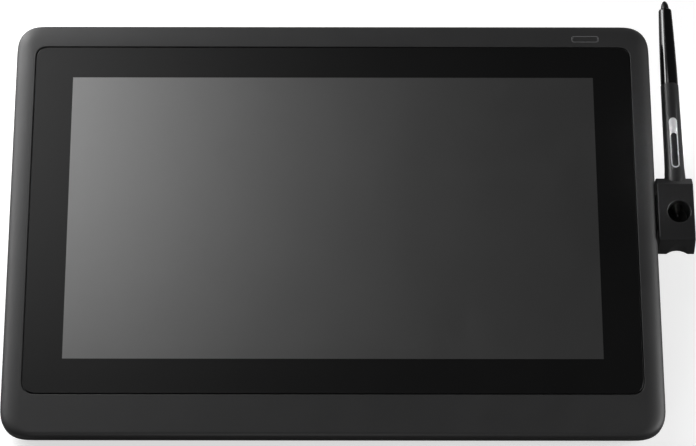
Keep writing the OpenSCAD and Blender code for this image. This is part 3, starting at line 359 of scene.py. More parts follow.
@dataclass(frozen=True)
class Slab:
    """The lying tablet's frame of millimetres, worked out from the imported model."""

    tilt: float
    place: Matrix

    @classmethod
    def from_frame(cls) -> "Slab":
        """Reads the tilt off the button's joint, and the front edge and rear face off the case.

        Returns:
            The lying tablet's frame.
        """
        press = joint("power_press")["axis"]
        tilt = math.atan2(press[1], -press[2])
        flat = Matrix.Rotation(-tilt, 4, "X")
        front = min((flat @ v.co).y for v in frame["nodes"]["front_bezel"].data.vertices)
        rear = min((flat @ v.co).z for v in frame["nodes"]["rear_cover"].data.vertices)
        shift = Matrix.Translation((0, front, rear))
        return cls(tilt, Matrix.Rotation(tilt, 4, "X") @ shift @ Matrix.Scale(MM, 4))

    def box(
        self, node: str, within: Matrix | None = None, left_of: float = math.inf
    ) -> tuple[Vector, Vector]:
        """A node's lowest and highest corners in millimetres.

        Args:
            node: the CAD node's name.
            within: a frame inside the lying tablet's own, if not that one.
            left_of: only points with less x than this count.

        Returns:
            The two corners.
        """
        back = (self.place @ (within or Matrix.Identity(4))).inverted()
        points = [p for p in (back @ v.co for v in frame["nodes"][node].data.vertices) if p.x < left_of]
        low = Vector([min(p[i] for p in points) for i in range(3)])
        high = Vector([max(p[i] for p in points) for i in range(3)])
        return low, high


def joint(name: str) -> dict:
    """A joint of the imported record, by name."""
    return next(j for j in frame["joints"] if j["name"] == name)


class Tree:
    """A short way to add and link shader nodes."""

    def __init__(self, tree: bpy.types.NodeTree) -> None:
        """Takes the tree to work in."""
        self.tree = tree

    def add(self, kind: str, links: dict | None = None, **settings: object) -> bpy.types.Node:
        """Adds a node.

        Args:
            kind: the node's type, without its ShaderNode prefix.
            links: for each input's name or number, a socket to link or a value to set.
            settings: properties of the node.

        Returns:
            The node.
        """
        node = self.tree.nodes.new("ShaderNode" + kind)
        for key, value in settings.items():
            setattr(node, key, value)
        for key, value in (links or {}).items():
            if isinstance(value, bpy.types.NodeSocket):
                self.tree.links.new(value, node.inputs[key])
            else:
                node.inputs[key].default_value = value
        return node

    def math(self, operation: str, *values: object) -> bpy.types.NodeSocket:
        """Adds a sum of sockets or numbers and gives its result."""
        return self.add("Math", dict(enumerate(values)), operation=operation).outputs[0]

    def blend(self, factor: bpy.types.NodeSocket, first: object, second: object) -> bpy.types.NodeSocket:
        """Mixes two colours by a factor and gives the result."""
        return self.add("Mix", {0: factor, 6: first, 7: second}, data_type="RGBA").outputs[2]

    def ranged(self, value: bpy.types.NodeSocket, low: float, high: float) -> bpy.types.NodeSocket:
        """Takes a value from 0 to 1 to a range."""
        return self.add("MapRange", {0: value, 3: low, 4: high}).outputs[0]


class Effects:
    """Shader node groups that several finishes share."""

    PIT_SHARE = -0.6
    FINE_SHARE = 0.55
    DRIFT_SHARE = 0.45
    DRIFT_SCALE = 55.0
    # Mask value at which the painted edge sheen is full.
    SHEEN_FULL = 0.8

    @staticmethod
    def start(
        name: str, inputs: dict[str, float], outputs: Sequence[str]
    ) -> tuple[bpy.types.NodeTree, Tree]:
        """Makes an empty group.

        Args:
            name: the group's name.
            inputs: the inputs' names and first values.
            outputs: the outputs' names.

        Returns:
            The group and a way to add to it.
        """
        group = bpy.data.node_groups.new(name, "ShaderNodeTree")
        for key, value in inputs.items():
            socket = group.interface.new_socket(key, in_out="INPUT", socket_type="NodeSocketFloat")
            socket.default_value = value
        for key in outputs:
            group.interface.new_socket(key, in_out="OUTPUT", socket_type="NodeSocketFloat")
        return group, Tree(group)

    @classmethod
    def group(cls, name: str) -> bpy.types.NodeTree:
        """Gives a group by name, and makes it the first time."""
        return bpy.data.node_groups.get(name) or getattr(cls, name)()

    @classmethod
    def moulded_grain(cls) -> bpy.types.NodeTree:
        """Fine pits of a textured mould, with a slow drift of tone.

        Returns:
            The node group.
        """
        group, tree = cls.start("moulded_grain", {"Size": 0.4}, ("Height", "Tone"))
        entry = tree.add("TexCoord").outputs["Object"]
        source = group.nodes.new("NodeGroupInput")
        per_metre = tree.math("DIVIDE", 1 / MM, source.outputs["Size"])
        fine = tree.add("TexNoise", {"Vector": entry, "Scale": per_metre, "Detail": 2.0})
        pits = tree.add("TexVoronoi", {"Vector": entry, "Scale": per_metre})
        slow = tree.add("TexNoise", {"Vector": entry, "Scale": cls.DRIFT_SCALE, "Detail": 4.0})
        height = tree.math("MULTIPLY_ADD", pits.outputs["Distance"], cls.PIT_SHARE, fine.outputs["Fac"])
        drift = tree.math("MULTIPLY", slow.outputs["Fac"], cls.DRIFT_SHARE)
        tone = tree.math("MULTIPLY_ADD", fine.outputs["Fac"], cls.FINE_SHARE, drift)
        sink = group.nodes.new("NodeGroupOutput")
        group.links.new(height, sink.inputs["Height"])
        group.links.new(tone, sink.inputs["Tone"])
        return group

    @classmethod
    def handling_marks(cls) -> bpy.types.NodeTree:
        """Faint smears from hands.

        Returns:
            The node group.
        """
        group, tree = cls.start("handling_marks", {"Spread": 18.0}, ("Smear",))
        source = group.nodes.new("NodeGroupInput")
        entry = tree.add("TexCoord").outputs["Object"]
        smear = tree.add(
            "TexNoise",
            {"Vector": entry, "Scale": source.outputs["Spread"], "Detail": 6.0, "Distortion": 1.2},
        )
        sink = group.nodes.new("NodeGroupOutput")
        group.links.new(smear.outputs["Fac"], sink.inputs["Smear"])
        return group

    @classmethod
    def edge_rub(cls) -> bpy.types.NodeTree:
        """A mask along edges, where the colour is lightened as a painted sheen.

        Returns:
            The node group.
        """
        group, tree = cls.start("edge_rub", {"Reach": 0.5}, ("Mask",))
        source = group.nodes.new("NodeGroupInput")
        reach = tree.math("MULTIPLY", source.outputs["Reach"], MM)
        softened = tree.add("Bevel", {"Radius": reach}, samples=4)
        square = tree.add(
            "VectorMath",
            {0: softened.outputs["Normal"], 1: tree.add("NewGeometry").outputs["Normal"]},
            operation="DOT_PRODUCT",
        )
        mask = tree.add("MapRange", {0: square.outputs["Value"], 1: 1.0, 2: cls.SHEEN_FULL})
        sink = group.nodes.new("NodeGroupOutput")
        group.links.new(mask.outputs[0], sink.inputs["Mask"])
        return group


@dataclass(frozen=True)
class Finish:
    """A surface with grain, a drift of tone, handling marks and a painted sheen along its edges."""

    name: str
    colour: Colour
    roughness: float
    metallic: float = 0.0
    specular: float = 0.5
    grain: float = 0.5
    depth: float = 0.05
    strength: float = 0.3
    drift: float = 0.25
    smear: float = 0.08
    # How much lighter the edges are painted as a sheen, and how far that painted sheen reaches.
    painted_edge_sheen: float = 0.0
    painted_sheen_reach: float = 0.5
    coat: float = 0.0
    coat_roughness: float = 0.1
    sheen: float = 0.0

    def shader(self) -> tuple[bpy.types.Material, Tree, bpy.types.Node]:
        """Starts the material with the values that are the same all over.

        Returns:
            The material, a way to add to it and its surface node.
        """
        material = bpy.data.materials.new(self.name)
        material.use_nodes = True
        tree = Tree(material.node_tree)
        surface = material.node_tree.nodes["Principled BSDF"]
        constants = {
            "Metallic": self.metallic,
            "Specular IOR Level": self.specular,
            "Coat Weight": self.coat,
            "Coat Roughness": self.coat_roughness,
            "Sheen Weight": self.sheen,
        }
        for key, value in constants.items():
            surface.inputs[key].default_value = value
        return material, tree, surface

    def grained(self, tree: Tree) -> bpy.types.Node:
        """Places the grain group with this finish's size.

        Args:
            tree: the material's tree.

        Returns:
            The group's node.
        """
        node = tree.add("Group", node_tree=Effects.group("moulded_grain"))
        node.inputs["Size"].default_value = self.grain
        return node

    def shades(self) -> tuple[tuple[float, ...], tuple[float, ...]]:
        """The darker and the lighter end of the colour's drift."""
        return tuple(
            tuple(min(1.0, c * (1 + sign * self.drift)) for c in self.colour) + (1.0,) for sign in (-1, 1)
        )

    def coloured(self, tree: Tree, grain: bpy.types.Node) -> bpy.types.NodeSocket:
        """Gives the colour, drifting with the grain and lighter along edges as a painted sheen.

        Args:
            tree: the material's tree.
            grain: the grain group's node.

        Returns:
            The colour's socket.
        """
        dark, light = self.shades()
        colour = tree.blend(grain.outputs["Tone"], dark, light)
        # Edges are painted lighter here: a painted sheen, not wear.
        if self.painted_edge_sheen:
            sheen_mask = tree.add("Group", node_tree=Effects.group("edge_rub"))
            sheen_mask.inputs["Reach"].default_value = self.painted_sheen_reach
            sheen_colour = tuple(c + self.painted_edge_sheen for c in self.colour) + (1.0,)
            colour = tree.blend(sheen_mask.outputs["Mask"], colour, sheen_colour)
        return colour

    def material(self) -> bpy.types.Material:
        """Builds the material, or gives the one that is built.

        Returns:
            The material.
        """
        made = bpy.data.materials.get(self.name)
        if made:
            return made
        material, tree, surface = self.shader()
        grain = self.grained(tree)
        smear = tree.add("Group", node_tree=Effects.group("handling_marks")).outputs["Smear"]
        dulled = tree.ranged(smear, self.roughness - self.smear, self.roughness + self.smear)
        relief = {"Height": grain.outputs["Height"], "Strength": self.strength}
        bump = tree.add("Bump", relief | {"Distance": self.depth * MM})
        tree.tree.links.new(self.coloured(tree, grain), surface.inputs["Base Color"])
        tree.tree.links.new(dulled, surface.inputs["Roughness"])
        tree.tree.links.new(bump.outputs[0], surface.inputs["Normal"])
        return material


@dataclass(frozen=True)
class BoardFinish(Finish):
    """Solder resist over copper tracks, with rows of bright pads."""

    track: Colour = (0.05, 0.24, 0.12)
    pad: Colour = (0.75, 0.6, 0.25)
    pitch: float = 2.5
    track_share: float = 0.4
    track_w: float = 0.012
    scatter: float = 0.35
    pad_edge: tuple[float, float] = (0.1, 0.13)

    def coloured(self, tree: Tree, grain: bpy.types.Node) -> bpy.types.NodeSocket:
        """Gives the resist's colour, with tracks and pads on it.

        Args:
            tree: the material's tree.
            grain: the grain group's node.

        Returns:
            The colour's socket.
        """
        base = super().coloured(tree, grain)
        entry = tree.add("TexCoord").outputs["Object"]
        per_metre = 1 / (self.pitch * MM)
        grid = {"Vector": entry, "Scale": self.track_share * per_metre, "Mortar Size": self.track_w}
        cells = tree.add("TexBrick", grid)
        tracked = tree.blend(cells.outputs["Fac"], base, self.track + (1.0,))
        dots = tree.add("TexVoronoi", {"Vector": entry, "Scale": per_metre, "Randomness": self.scatter})
        start, stop = self.pad_edge
        dot = tree.add("MapRange", {0: dots.outputs["Distance"], 1: start, 2: stop, 3: 1.0, 4: 0.0})
        return tree.blend(dot.outputs[0], tracked, self.pad + (1.0,))


@dataclass(frozen=True)
class StripedFinish(Finish):
    """A surface with fine parallel lines: wound wire, brushed sheet or the tracks of a flat cable."""

    line: Colour = (0.8, 0.5, 0.2)
    pitch: float = 0.4
    across: str = "X"
    bands_per_turn: float = 20.0

    def coloured(self, tree: Tree, grain: bpy.types.Node) -> bpy.types.NodeSocket:
        """Gives the ground colour with lines on it.

        Args:
            tree: the material's tree.
            grain: the grain group's node.

        Returns:
            The colour's socket.
        """
        base = super().coloured(tree, grain)
        entry = tree.add("TexCoord").outputs["Object"]
        turns_per_metre = 1 / (self.pitch * MM) / self.bands_per_turn
        lines = tree.add(
            "TexWave",
            {"Vector": entry, "Scale": turns_per_metre, "Distortion": 0.4, "Detail": 1.0},
            bands_direction=self.across,
        )
        return tree.blend(lines.outputs["Fac"], base, self.line + (1.0,))


class Finishes:
    """Every finish on the object."""

    # The edge amounts below paint a lighter sheen along edges.
    CASE = Finish("sparked_case_plastic", (0.026, 0.026, 0.0265), 0.5, grain=0.45, strength=0.35, painted_edge_sheen=0.02)
    LEG = Finish("sparked_leg_plastic", (0.022, 0.022, 0.0225), 0.55, grain=0.5, strength=0.35, painted_edge_sheen=0.02)
    HOLDER = Finish("satin_holder_plastic", (0.015, 0.015, 0.0155), 0.4, grain=0.3, strength=0.2, painted_edge_sheen=0.03)
    BUTTON = Finish("satin_button_plastic", (0.03, 0.03, 0.0305), 0.45, grain=0.3, strength=0.2, painted_edge_sheen=0.02)
    RING = Finish("unlit_light_ring", (0.13, 0.13, 0.133), 0.4, drift=0.1, coat=0.3)
    RUBBER = Finish(
        "foot_rubber", (0.018, 0.018, 0.018), 0.8, grain=0.7, strength=0.5, drift=0.35, specular=0.3
    )
    INK = Finish(
        "printed_glass_border",
        (0.0025, 0.0025, 0.0026),
        0.34,
        grain=0.12,
        strength=0.1,
        drift=0.1,
        smear=0.02,
    )
    PANEL = Finish(
        "screen_panel",
        (0.3, 0.3, 0.3),
        0.34,
        metallic=1.0,
        grain=0.12,
        strength=0.1,
        drift=0.03,
        smear=0.02,
    )
    GLOSS = Finish(
        "polished_pen_barrel",
        (0.005, 0.005, 0.0052),
        0.12,
        grain=0.8,
        strength=0.04,
        drift=0.1,
        smear=0.04,
        coat=0.6,
        coat_roughness=0.06,
    )
    GRIP = Finish(
        "soft_pen_grip", (0.02, 0.02, 0.0205), 0.34, grain=0.25, strength=0.3, specular=0.45, sheen=0.03
    )
    PEN = Finish("satin_pen_plastic", (0.008, 0.008, 0.0083), 0.38, grain=0.3, strength=0.12, painted_edge_sheen=0.015)
    SILVER = Finish(
        "silver_switch_trim", (0.86, 0.86, 0.87), 0.34, metallic=0.25, grain=0.2, strength=0.08, drift=0.06
    )
    NIB = Finish("nib_plastic", (0.2, 0.2, 0.2), 0.3, grain=0.15, strength=0.1, drift=0.15)
    SCREW = Finish("blackened_screw_steel", (0.09, 0.09, 0.095), 0.38, metallic=1.0, drift=0.3, painted_edge_sheen=0.2)
    PIN = Finish("ground_pin_steel", (0.45, 0.45, 0.46), 0.28, metallic=1.0, drift=0.15)
    SHEET = StripedFinish(
        "bright_sheet_metal", (0.55, 0.55, 0.56), 0.35, metallic=1.0, line=(0.48, 0.48, 0.49), pitch=0.6
    )
    FOIL = StripedFinish(
        "shield_foil", (0.5, 0.47, 0.42), 0.4, metallic=1.0, line=(0.42, 0.39, 0.35), pitch=1.5
    )
    BOARD = BoardFinish("board_solder_resist", (0.02, 0.12, 0.06), 0.35, coat=0.4)
    CHIP = Finish("chip_resin", (0.02, 0.02, 0.02), 0.6, grain=0.3, drift=0.3)
    FILM = StripedFinish("flat_cable_film", (0.42, 0.22, 0.04), 0.3, line=(0.3, 0.14, 0.03), pitch=0.8)
    GUIDE = Finish("light_guide_acrylic", (0.8, 0.81, 0.8), 0.2, grain=1.2, drift=0.05)
    CELL = Finish("panel_cell_film", (0.05, 0.05, 0.052), 0.25, grain=0.3, drift=0.1)
    FERRITE = Finish("sintered_ferrite", (0.05, 0.05, 0.052), 0.7, grain=0.4, drift=0.4)
    WIRE = StripedFinish(
        "enamelled_wire",
        (0.5, 0.22, 0.08),
        0.3,
        metallic=0.8,
        line=(0.25, 0.1, 0.04),
        pitch=0.25,
        across="Y",
    )


CARRIED: tuple[tuple[Finish, tuple[str, ...]], ...] = (
    (Finishes.SCREW, ("cover_screws", "chassis_screws", "board_screws", "power_board_screws")),
    (Finishes.PIN, ("left_leg_pin", "right_leg_pin", "pen_switch_pin", "power_switch")),
    (Finishes.PIN, ("pen_pressure_sensor", "pen_eraser_sensor")),
    (Finishes.SHEET, ("lock_plate", "backlight_tray", "chassis_plate", "cable_port")),
    (Finishes.FOIL, ("shield_sheet",)),
    (Finishes.BOARD, ("panel_board", "sensor_board", "main_board", "power_board", "pen_board")),
    (Finishes.CHIP, ("board_chips", "power_plunger")),
    (Finishes.FILM, ("display_flex", "sensor_flex", "power_flex")),
    (Finishes.GUIDE, ("light_guide", "led_strip", "power_led")),
    (Finishes.CELL, ("lcd_cell",)),
    (Finishes.PEN, ("pen_core_tube",)),
    (Finishes.FERRITE, ("pen_ferrite",)),
    (Finishes.WIRE, ("pen_coil",)),
)


@dataclass(frozen=True)
class Piece:
    """What a new piece stands for."""

    name: str
    body: Body
    slot: str
    nodes: tuple[str, ...]
    finishes: tuple[Finish, ...]
    smooth: float = 35.0

    def show(self, form: Form, place: Matrix) -> bpy.types.Object:
        """Places a form in the shared frame, dresses it and lets it ride.

        Args:
            form: the piece's mesh in millimetres.
            place: the frame that the mesh is drawn in.

        Returns:
            The shown piece.
        """
        made = form.moved(place).as_object(self.name)
        for face in made.data.polygons:
            face.use_smooth = True
        made.data.set_sharp_from_angle(angle=math.radians(self.smooth))
        for finish in self.finishes:
            made.data.materials.append(finish.material())
        even = made.modifiers.new("even_shading", "WEIGHTED_NORMAL")
        even.keep_sharp = True
        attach(made, self.body.value)
        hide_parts(*self.nodes)
        LOG.info("%s: %d faces on %s", self.name, len(made.data.polygons), self.body.value)
        return made


@dataclass(frozen=True)
class Rounding:
    """Quarter ellipse that an edge of the case rounds off with, in millimetres."""

    width: float
    height: float

    def inset(self, past: float) -> float:
        """How far the edge is set in at a distance past the start of its rounding."""
        rise = min(max(past / self.height, 0.0), 1.0)
        return self.width * (1 - math.sqrt(1 - rise * rise))


Insets = tuple[float, float, float]
Edges = tuple[Rounding, Rounding, Rounding]


@dataclass(frozen=True)
class CaseForm:
    """Outer form that the bezel and the rear cover share. Edges are given as sides, front and back."""

    half_w: float
    depth: float
    height: float
    seam: float
    opening: Insets
    crown: Edges
    under: Edges = (Rounding(14, 12), Rounding(15, 14), Rounding(9, 9))
    corner_r: float = 14.5
    least_r: float = 6.9
    wall: float = 2.2
    corner_steps: int = 14
    corner_run: float = 1.35
    front_more: float = 1.13
    corner_power: float = 2.8
    CROWN_HEIGHTS = (6.0, 2.2, 3.5)
    FRONT_CROWN = 3.0

    @classmethod
    def from_slab(cls, slab: Slab, gap: float = 0.4, flat: float = 0.5) -> "CaseForm":
        """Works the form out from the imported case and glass.

        Args:
            slab: the lying tablet's frame.
            gap: clearance round the glass.
            flat: level strip between the glass opening and the crown.

        Returns:
            The case's form.
        """
        low, high = slab.box("front_bezel")
        glass_low, glass_high = slab.box("cover_glass")
        opening = (high.x - glass_high.x - gap, glass_low.y - gap, high.y - glass_high.y - gap)
        widths = (opening[0] - flat, cls.FRONT_CROWN, opening[2] - flat)
        crown = tuple(Rounding(*size) for size in zip(widths, cls.CROWN_HEIGHTS))
        return cls(high.x, high.y, glass_high.z, low.z, opening, crown)

    def insets(self, z: float, more: float = 0.0) -> Insets:
        """How far the sides, front and back are set in at a height.

        Args:
            z: the height.
            more: what is added on every side.

        Returns:
            The three amounts.
        """
        pairs = zip(self.crown, self.under)
        return tuple(
            up.inset(z - self.height + up.height) + down.inset(down.height - z) + more for up, down in pairs
        )

    def corner_size(self, side: float, end: float) -> float:
        """How far a corner's curve runs, where its side and its end are set in by amounts."""
        return self.corner_run * max(self.least_r, self.corner_r - (side + end) / 2)

    def arm(self, share: float) -> float:
        """Reach of a corner's curve along an axis, from the reach that a circle has."""
        return math.copysign(abs(share) ** (2 / self.corner_power), share)

    def ring(self, z: float, insets: Insets) -> Ring:
        """The case's outline at a height, set in by the given amounts.

        Args:
            z: the height.
            insets: how far its sides, front and back are set in.

        Returns:
            The outline's points, with as many at each corner.
        """
        side, front, back = insets
        x, low, high = self.half_w - side, front, self.depth - back
        front_r, back_r = self.front_more * self.corner_size(side, front), self.corner_size(side, back)
        corners = (
            (x - back_r, high - back_r, back_r),
            (-x + back_r, high - back_r, back_r),
            (-x + front_r, low + front_r, front_r),
            (x - front_r, low + front_r, front_r),
        )
        ring: Ring = []
        for quarter, (mx, my, r) in enumerate(corners):
            for i in range(self.corner_steps + 1):
                turn = math.pi / 2 * (quarter + i / self.corner_steps)
                spot = (mx + r * self.arm(math.cos(turn)), my + r * self.arm(math.sin(turn)), z)
                ring.append(Vector(spot))
        return ring

    def level(self, z: float, more: float = 0.0, at: float | None = None) -> Ring:
        """The outline that the roundings give at a height, shifted to another height if asked."""
        return self.ring(z if at is None else at, self.insets(z, more))


@dataclass
class Leg:
    """A fold-out leg with its rubber sole, drawn folded from its hinge."""

    slab: Slab
    side: Side
    hinge: Vector
    half_w: float
    thick: float
    gap: float = 0.3
    finger_room: float = 9.0
    pocket_r: float = 0.8
    bore_r: float = 1.58
    edge: float = 0.7
    round_steps: int = 16
    sole_r: tuple[float, float] = (0.2, 0.5)
    groove: float = 0.5
    groove_r: float = 0.12
    groove_starts: tuple[float, ...] = (0.22, 0.46, 0.7)
    groove_share: float = 0.08

    @classmethod
    def from_slab(cls, slab: Slab, side: Side) -> "Leg":
        """Finds the leg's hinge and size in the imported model.

        Args:
            slab: the lying tablet's frame.
            side: the side that the leg is on.

        Returns:
            The leg.
        """
        name = side.name.lower() + "_leg"
        hinge = slab.place.inverted() @ Vector(joint(name + "_fold")["pos_m"])
        low, high = slab.box(name)
        return cls(slab, side, hinge, (high.x - low.x) / 2, high.y - low.y)

    @property
    def name(self) -> str:
        """The leg's own CAD node and body."""
        return self.side.name.lower() + "_leg"

    @property
    def place(self) -> Matrix:
        """The folded leg's frame inside the lying tablet's, turned open."""
        return Matrix.Translation(self.hinge) @ Matrix.Rotation(math.pi / 2, 4, "X")

    @property
    def lean(self) -> float:
        """How far the slanted tip runs on at each face of the leg."""
        return self.thick / 2 * math.tan(self.slab.tilt)

    def reach(self, node: str) -> float:
        """How far a node of the leg reaches from the hinge, at the middle of its slanted end."""
        return -self.slab.box(node, self.place)[0].y - self.lean

    def pocket(self, grown: float) -> Flat:
        """Outline of the space in the rear cover that the leg folds into.

        Args:
            grown: how far the outline is grown.

        Returns:
            The outline's points.
        """
        half = self.half_w + self.gap + grown
        front = self.hinge.y - self.reach(self.name + "_pad") - self.finger_room - grown
        back = self.hinge.y + self.thick / 2 + self.gap + grown
        middle, radius = (front + back) / 2, self.pocket_r + grown
        return rounded_rect(self.hinge.x, middle, 2 * half, back - front, radius, steps=4)

    def rod(self, radius: float, half: float) -> Form:
        """A cylinder about the hinge's axis, in the lying tablet's frame."""
        outline = circle(self.hinge.y, self.hinge.z, radius, 2 * self.round_steps)
        return Form.along_x(outline, self.hinge.x - half, self.hinge.x + half)

    def plate(self) -> Form:
        """The leg itself: round at its hinge and slanted at its tip.

        Returns:
            The plate, in the leg's frame.
        """
        r, near = self.thick / 2, self.reach(self.name)
        turns = [math.pi * (i / self.round_steps - 0.5) for i in range(self.round_steps + 1)]
        outline = [(r * math.cos(t), r * math.sin(t)) for t in turns]
        outline += [(-near + self.lean, r), (-near - self.lean, -r)]
        blank = Form.along_x(outline, -self.half_w, self.half_w).bevelled(self.edge)
        hole = circle(0, 0, self.bore_r, self.round_steps)
        return blank.carved(Carve.CUT, [Form.along_x(hole, -self.half_w - OVER, self.half_w + OVER)])

    def sole(self) -> Form:
        """The rubber sole, with grooves along the face that it stands on.

        Returns:
            The sole, in the leg's frame.
        """
        low, high = self.slab.box(self.name + "_pad", self.place)
        r, near, far = self.thick / 2, self.reach(self.name), self.reach(self.name + "_pad")
        start, stop = Vector((-far + self.lean, r)), Vector((-far - self.lean, -r))
        inner_r, outer_r = self.sole_r
        corners: list[Corner] = [(-near - self.lean, -r, inner_r), (-near + self.lean, r, inner_r)]
        corners.append((*start, outer_r))
        for first in self.groove_starts:
            last = first + self.groove_share
            for along, depth in ((first, 0), (first, self.groove), (last, self.groove), (last, 0)):
                spot = start.lerp(stop, along)
                corners.append((spot.x + depth, spot.y, self.groove_r))
        corners.append((*stop, outer_r))
        return Form.along_x(filleted(corners, steps=3), low.x, high.x)

    def build(self) -> None:
        """Builds the leg and its sole, both on the leg's body."""
        place = self.slab.place @ self.place
        body = Body(self.name)
        plate = Piece(self.name + "_plate", body, "leg_plastic", (self.name,), (Finishes.LEG,))
        plate.show(self.plate(), place)
        sole = Piece(self.name + "_sole", body, "foot_rubber", (self.name + "_pad",), (Finishes.RUBBER,))
        sole.show(self.sole(), place)


@dataclass
class Case:
    """The bezel, the rear cover and the rubber feet."""

    slab: Slab
    form: CaseForm
    legs: Sequence[Leg]
    button: "PowerButton"
    seam_chamfer: float = 0.3
    seam_rise: float = 1.0
    lip: float = 0.45
    ledge: float = 6.9
    ledge_t: float = 2.0
    crown_steps: int = 16
    under_steps: int = 16
    posts: tuple[tuple[float, float], ...] = (
        (202.2, 58.95),
        (202.2, 208.95),
        (55, 271.9),
        (132, 271.9),
        (148, 12),
    )
    post_steps: int = 24
    post_r: float = 3.5
    boss_r: float = 4.4
    thread_r: float = 1.25
    shank_r: float = 1.5
    head_r: float = 3.1
    head_seat: float = 5.5
    slot_gap: float = 0.3
    slot_wall: float = 1.2
    pocket_wall: float = 1.6
    pocket_depth: float = 7.6
    flare: float = 0.5
    pin_r: float = 1.5
    pin_seat: float = 3.3
    recess: tuple[float, float] = (60.0, 50.0)
    recess_r: float = 1.0
    port_gap: float = 0.2
    lock: tuple[float, float, float, float] = (-165.0, 6.7, 7.0, 3.0)
    lock_reach: float = 18.0
    vent: tuple[float, float] = (12.0, 2.0)
    vents: int = 7
    vent_x: float = 45.0
    vent_pitch: float = 6.0
    vent_inset: float = 28.0
    foot_lip: float = 0.35
    foot_bed: float = 1.0
    strip_r: tuple[float, float, float] = (0.15, 0.6, 0.5)
    strip_edge: float = 0.4
    disc_r: tuple[float, float] = (0.7, 0.1)
    disc_dish: tuple[float, float, float] = (0.66, 0.6, 0.2)

    def slot_boxes(self, grown: float, outer: float) -> list[Form]:
        """Boxes round the holder's tongue and round the same place on the left.

        Args:
            grown: how far the boxes stand clear of the tongue.
            outer: where the boxes end towards the outside.

        Returns:
            The two boxes.
        """
        low, high = self.slab.box("pen_holder", left_of=self.form.half_w)
        boxes = []
        for side in Side:
            ends = sorted((side.value * (low.x - grown), side.value * outer))
            start = (ends[0], low.y - grown, low.z - grown)
            boxes.append(Form.block(start, (ends[1], high.y + grown, high.z + grown)))
        return boxes

    def rods(self, radius: float, low: float, high: float) -> list[Form]:
        """Upright cylinders at every screw post."""
        spots = [(side.value * x, y) for x, y in self.posts for side in Side]
        return [Form.rod(x, y, radius, low, high, self.post_steps) for x, y in spots]

    def shell(self, glass_low: float) -> Form:
        """Lofts the bezel over its crown, round the glass opening and back inside.

        Args:
            glass_low: the height of the glass's underside.

        Returns:
            The bezel without posts or slots.
        """
        form = self.form
        top, seam = form.height, form.seam
        crown_h = form.crown[0].height
        turns = [math.pi / 2 * i / self.crown_steps for i in range(self.crown_steps + 1)]
        under = glass_low - self.ledge_t
        below = under - self.ledge_t

        def opening(inset: float, z: float) -> Ring:
            """The glass opening's outline, drawn in by an amount."""
            return form.ring(z, tuple(v + inset for v in form.opening))

        rings = [form.level(seam, self.seam_chamfer), form.level(seam + self.seam_chamfer)]
        sides, front = (form.under[i].height for i in (0, 1))
        rings += [form.level(z) for z in (seam + self.seam_rise, sides, front)]
        rings += [form.level(top - crown_h * (1 - math.sin(t))) for t in turns]
        for t in turns[:: self.crown_steps // 4]:
            rings.append(opening(-self.lip * (1 - math.sin(t)), top - self.lip * (1 - math.cos(t))))
        rings += [opening(0, glass_low), opening(self.ledge, glass_low), opening(self.ledge, under)]
        rings.append(form.ring(under, form.insets(below, form.wall)))
        rings += [form.level(z, form.wall) for z in (below, front, seam)]
        return Form.loft(rings, looped=True)

    def bezel(self) -> None:
        """Builds the bezel with its screw posts, its tongue slots and the button's place."""
        seam, top = self.form.seam, self.form.height
        glass_low = self.slab.box("cover_glass")[0].z
        under = glass_low - self.ledge_t
        inside = self.form.half_w - self.form.wall / 2
        added = self.rods(self.post_r, seam, under + self.ledge_t / 2)
        added += self.slot_boxes(self.slot_gap + self.slot_wall, inside)
        button = self.button
        floor = button.ring_box()[0].z
        cuts = [
            Form.prism(button.outline(-button.ring_fit), floor, top + OVER),
            Form.prism(button.outline(button.ring_wall), under - OVER, floor + OVER),
            *self.rods(self.thread_r, seam - OVER, under - OVER),
            *self.slot_boxes(self.slot_gap, self.form.half_w + OVER),
        ]
        made = self.shell(glass_low).carved(Carve.JOIN, added).carved(Carve.CUT, cuts)
        piece = Piece("bezel_shell", Body.TABLET, "case_plastic", ("front_bezel",), (Finishes.CASE,))
        piece.show(made, self.slab.place)

    def recess_outline(self, grown: float) -> Flat:
        """Outline of the cable's recess, which is open at the back.

        Args:
            grown: how far the outline is grown.

        Returns:
            The outline's points.
        """
        width, depth = self.recess
        half, front = width / 2 + grown, self.form.depth - depth - grown
        back = self.form.depth + 10 * OVER
        r = self.recess_r
        return filleted([(half, back, 0), (-half, back, 0), (-half, front, r), (half, front, r)], steps=4)

    def discs(self) -> tuple[float, Flat]:
        """Radius and middles of the round rear feet.

        Returns:
            The radius, and the two middles.
        """
        low, high = self.slab.box("rear_feet")
        radius = (high.y - low.y) / 2
        return radius, [(side.value * (high.x - radius), low.y + radius) for side in Side]

    def feet_beds(self) -> list[Form]:
        """The shallow beds that the rubber feet are glued into.

        Returns:
            A cutter for each bed.
        """
        low, high = self.slab.box("front_foot")
        beds = [Form.block((low.x, low.y, -OVER), (high.x, high.y, self.foot_bed))]
        radius, spots = self.discs()
        return beds + [Form.rod(x, y, radius, -OVER, self.foot_bed) for x, y in spots]

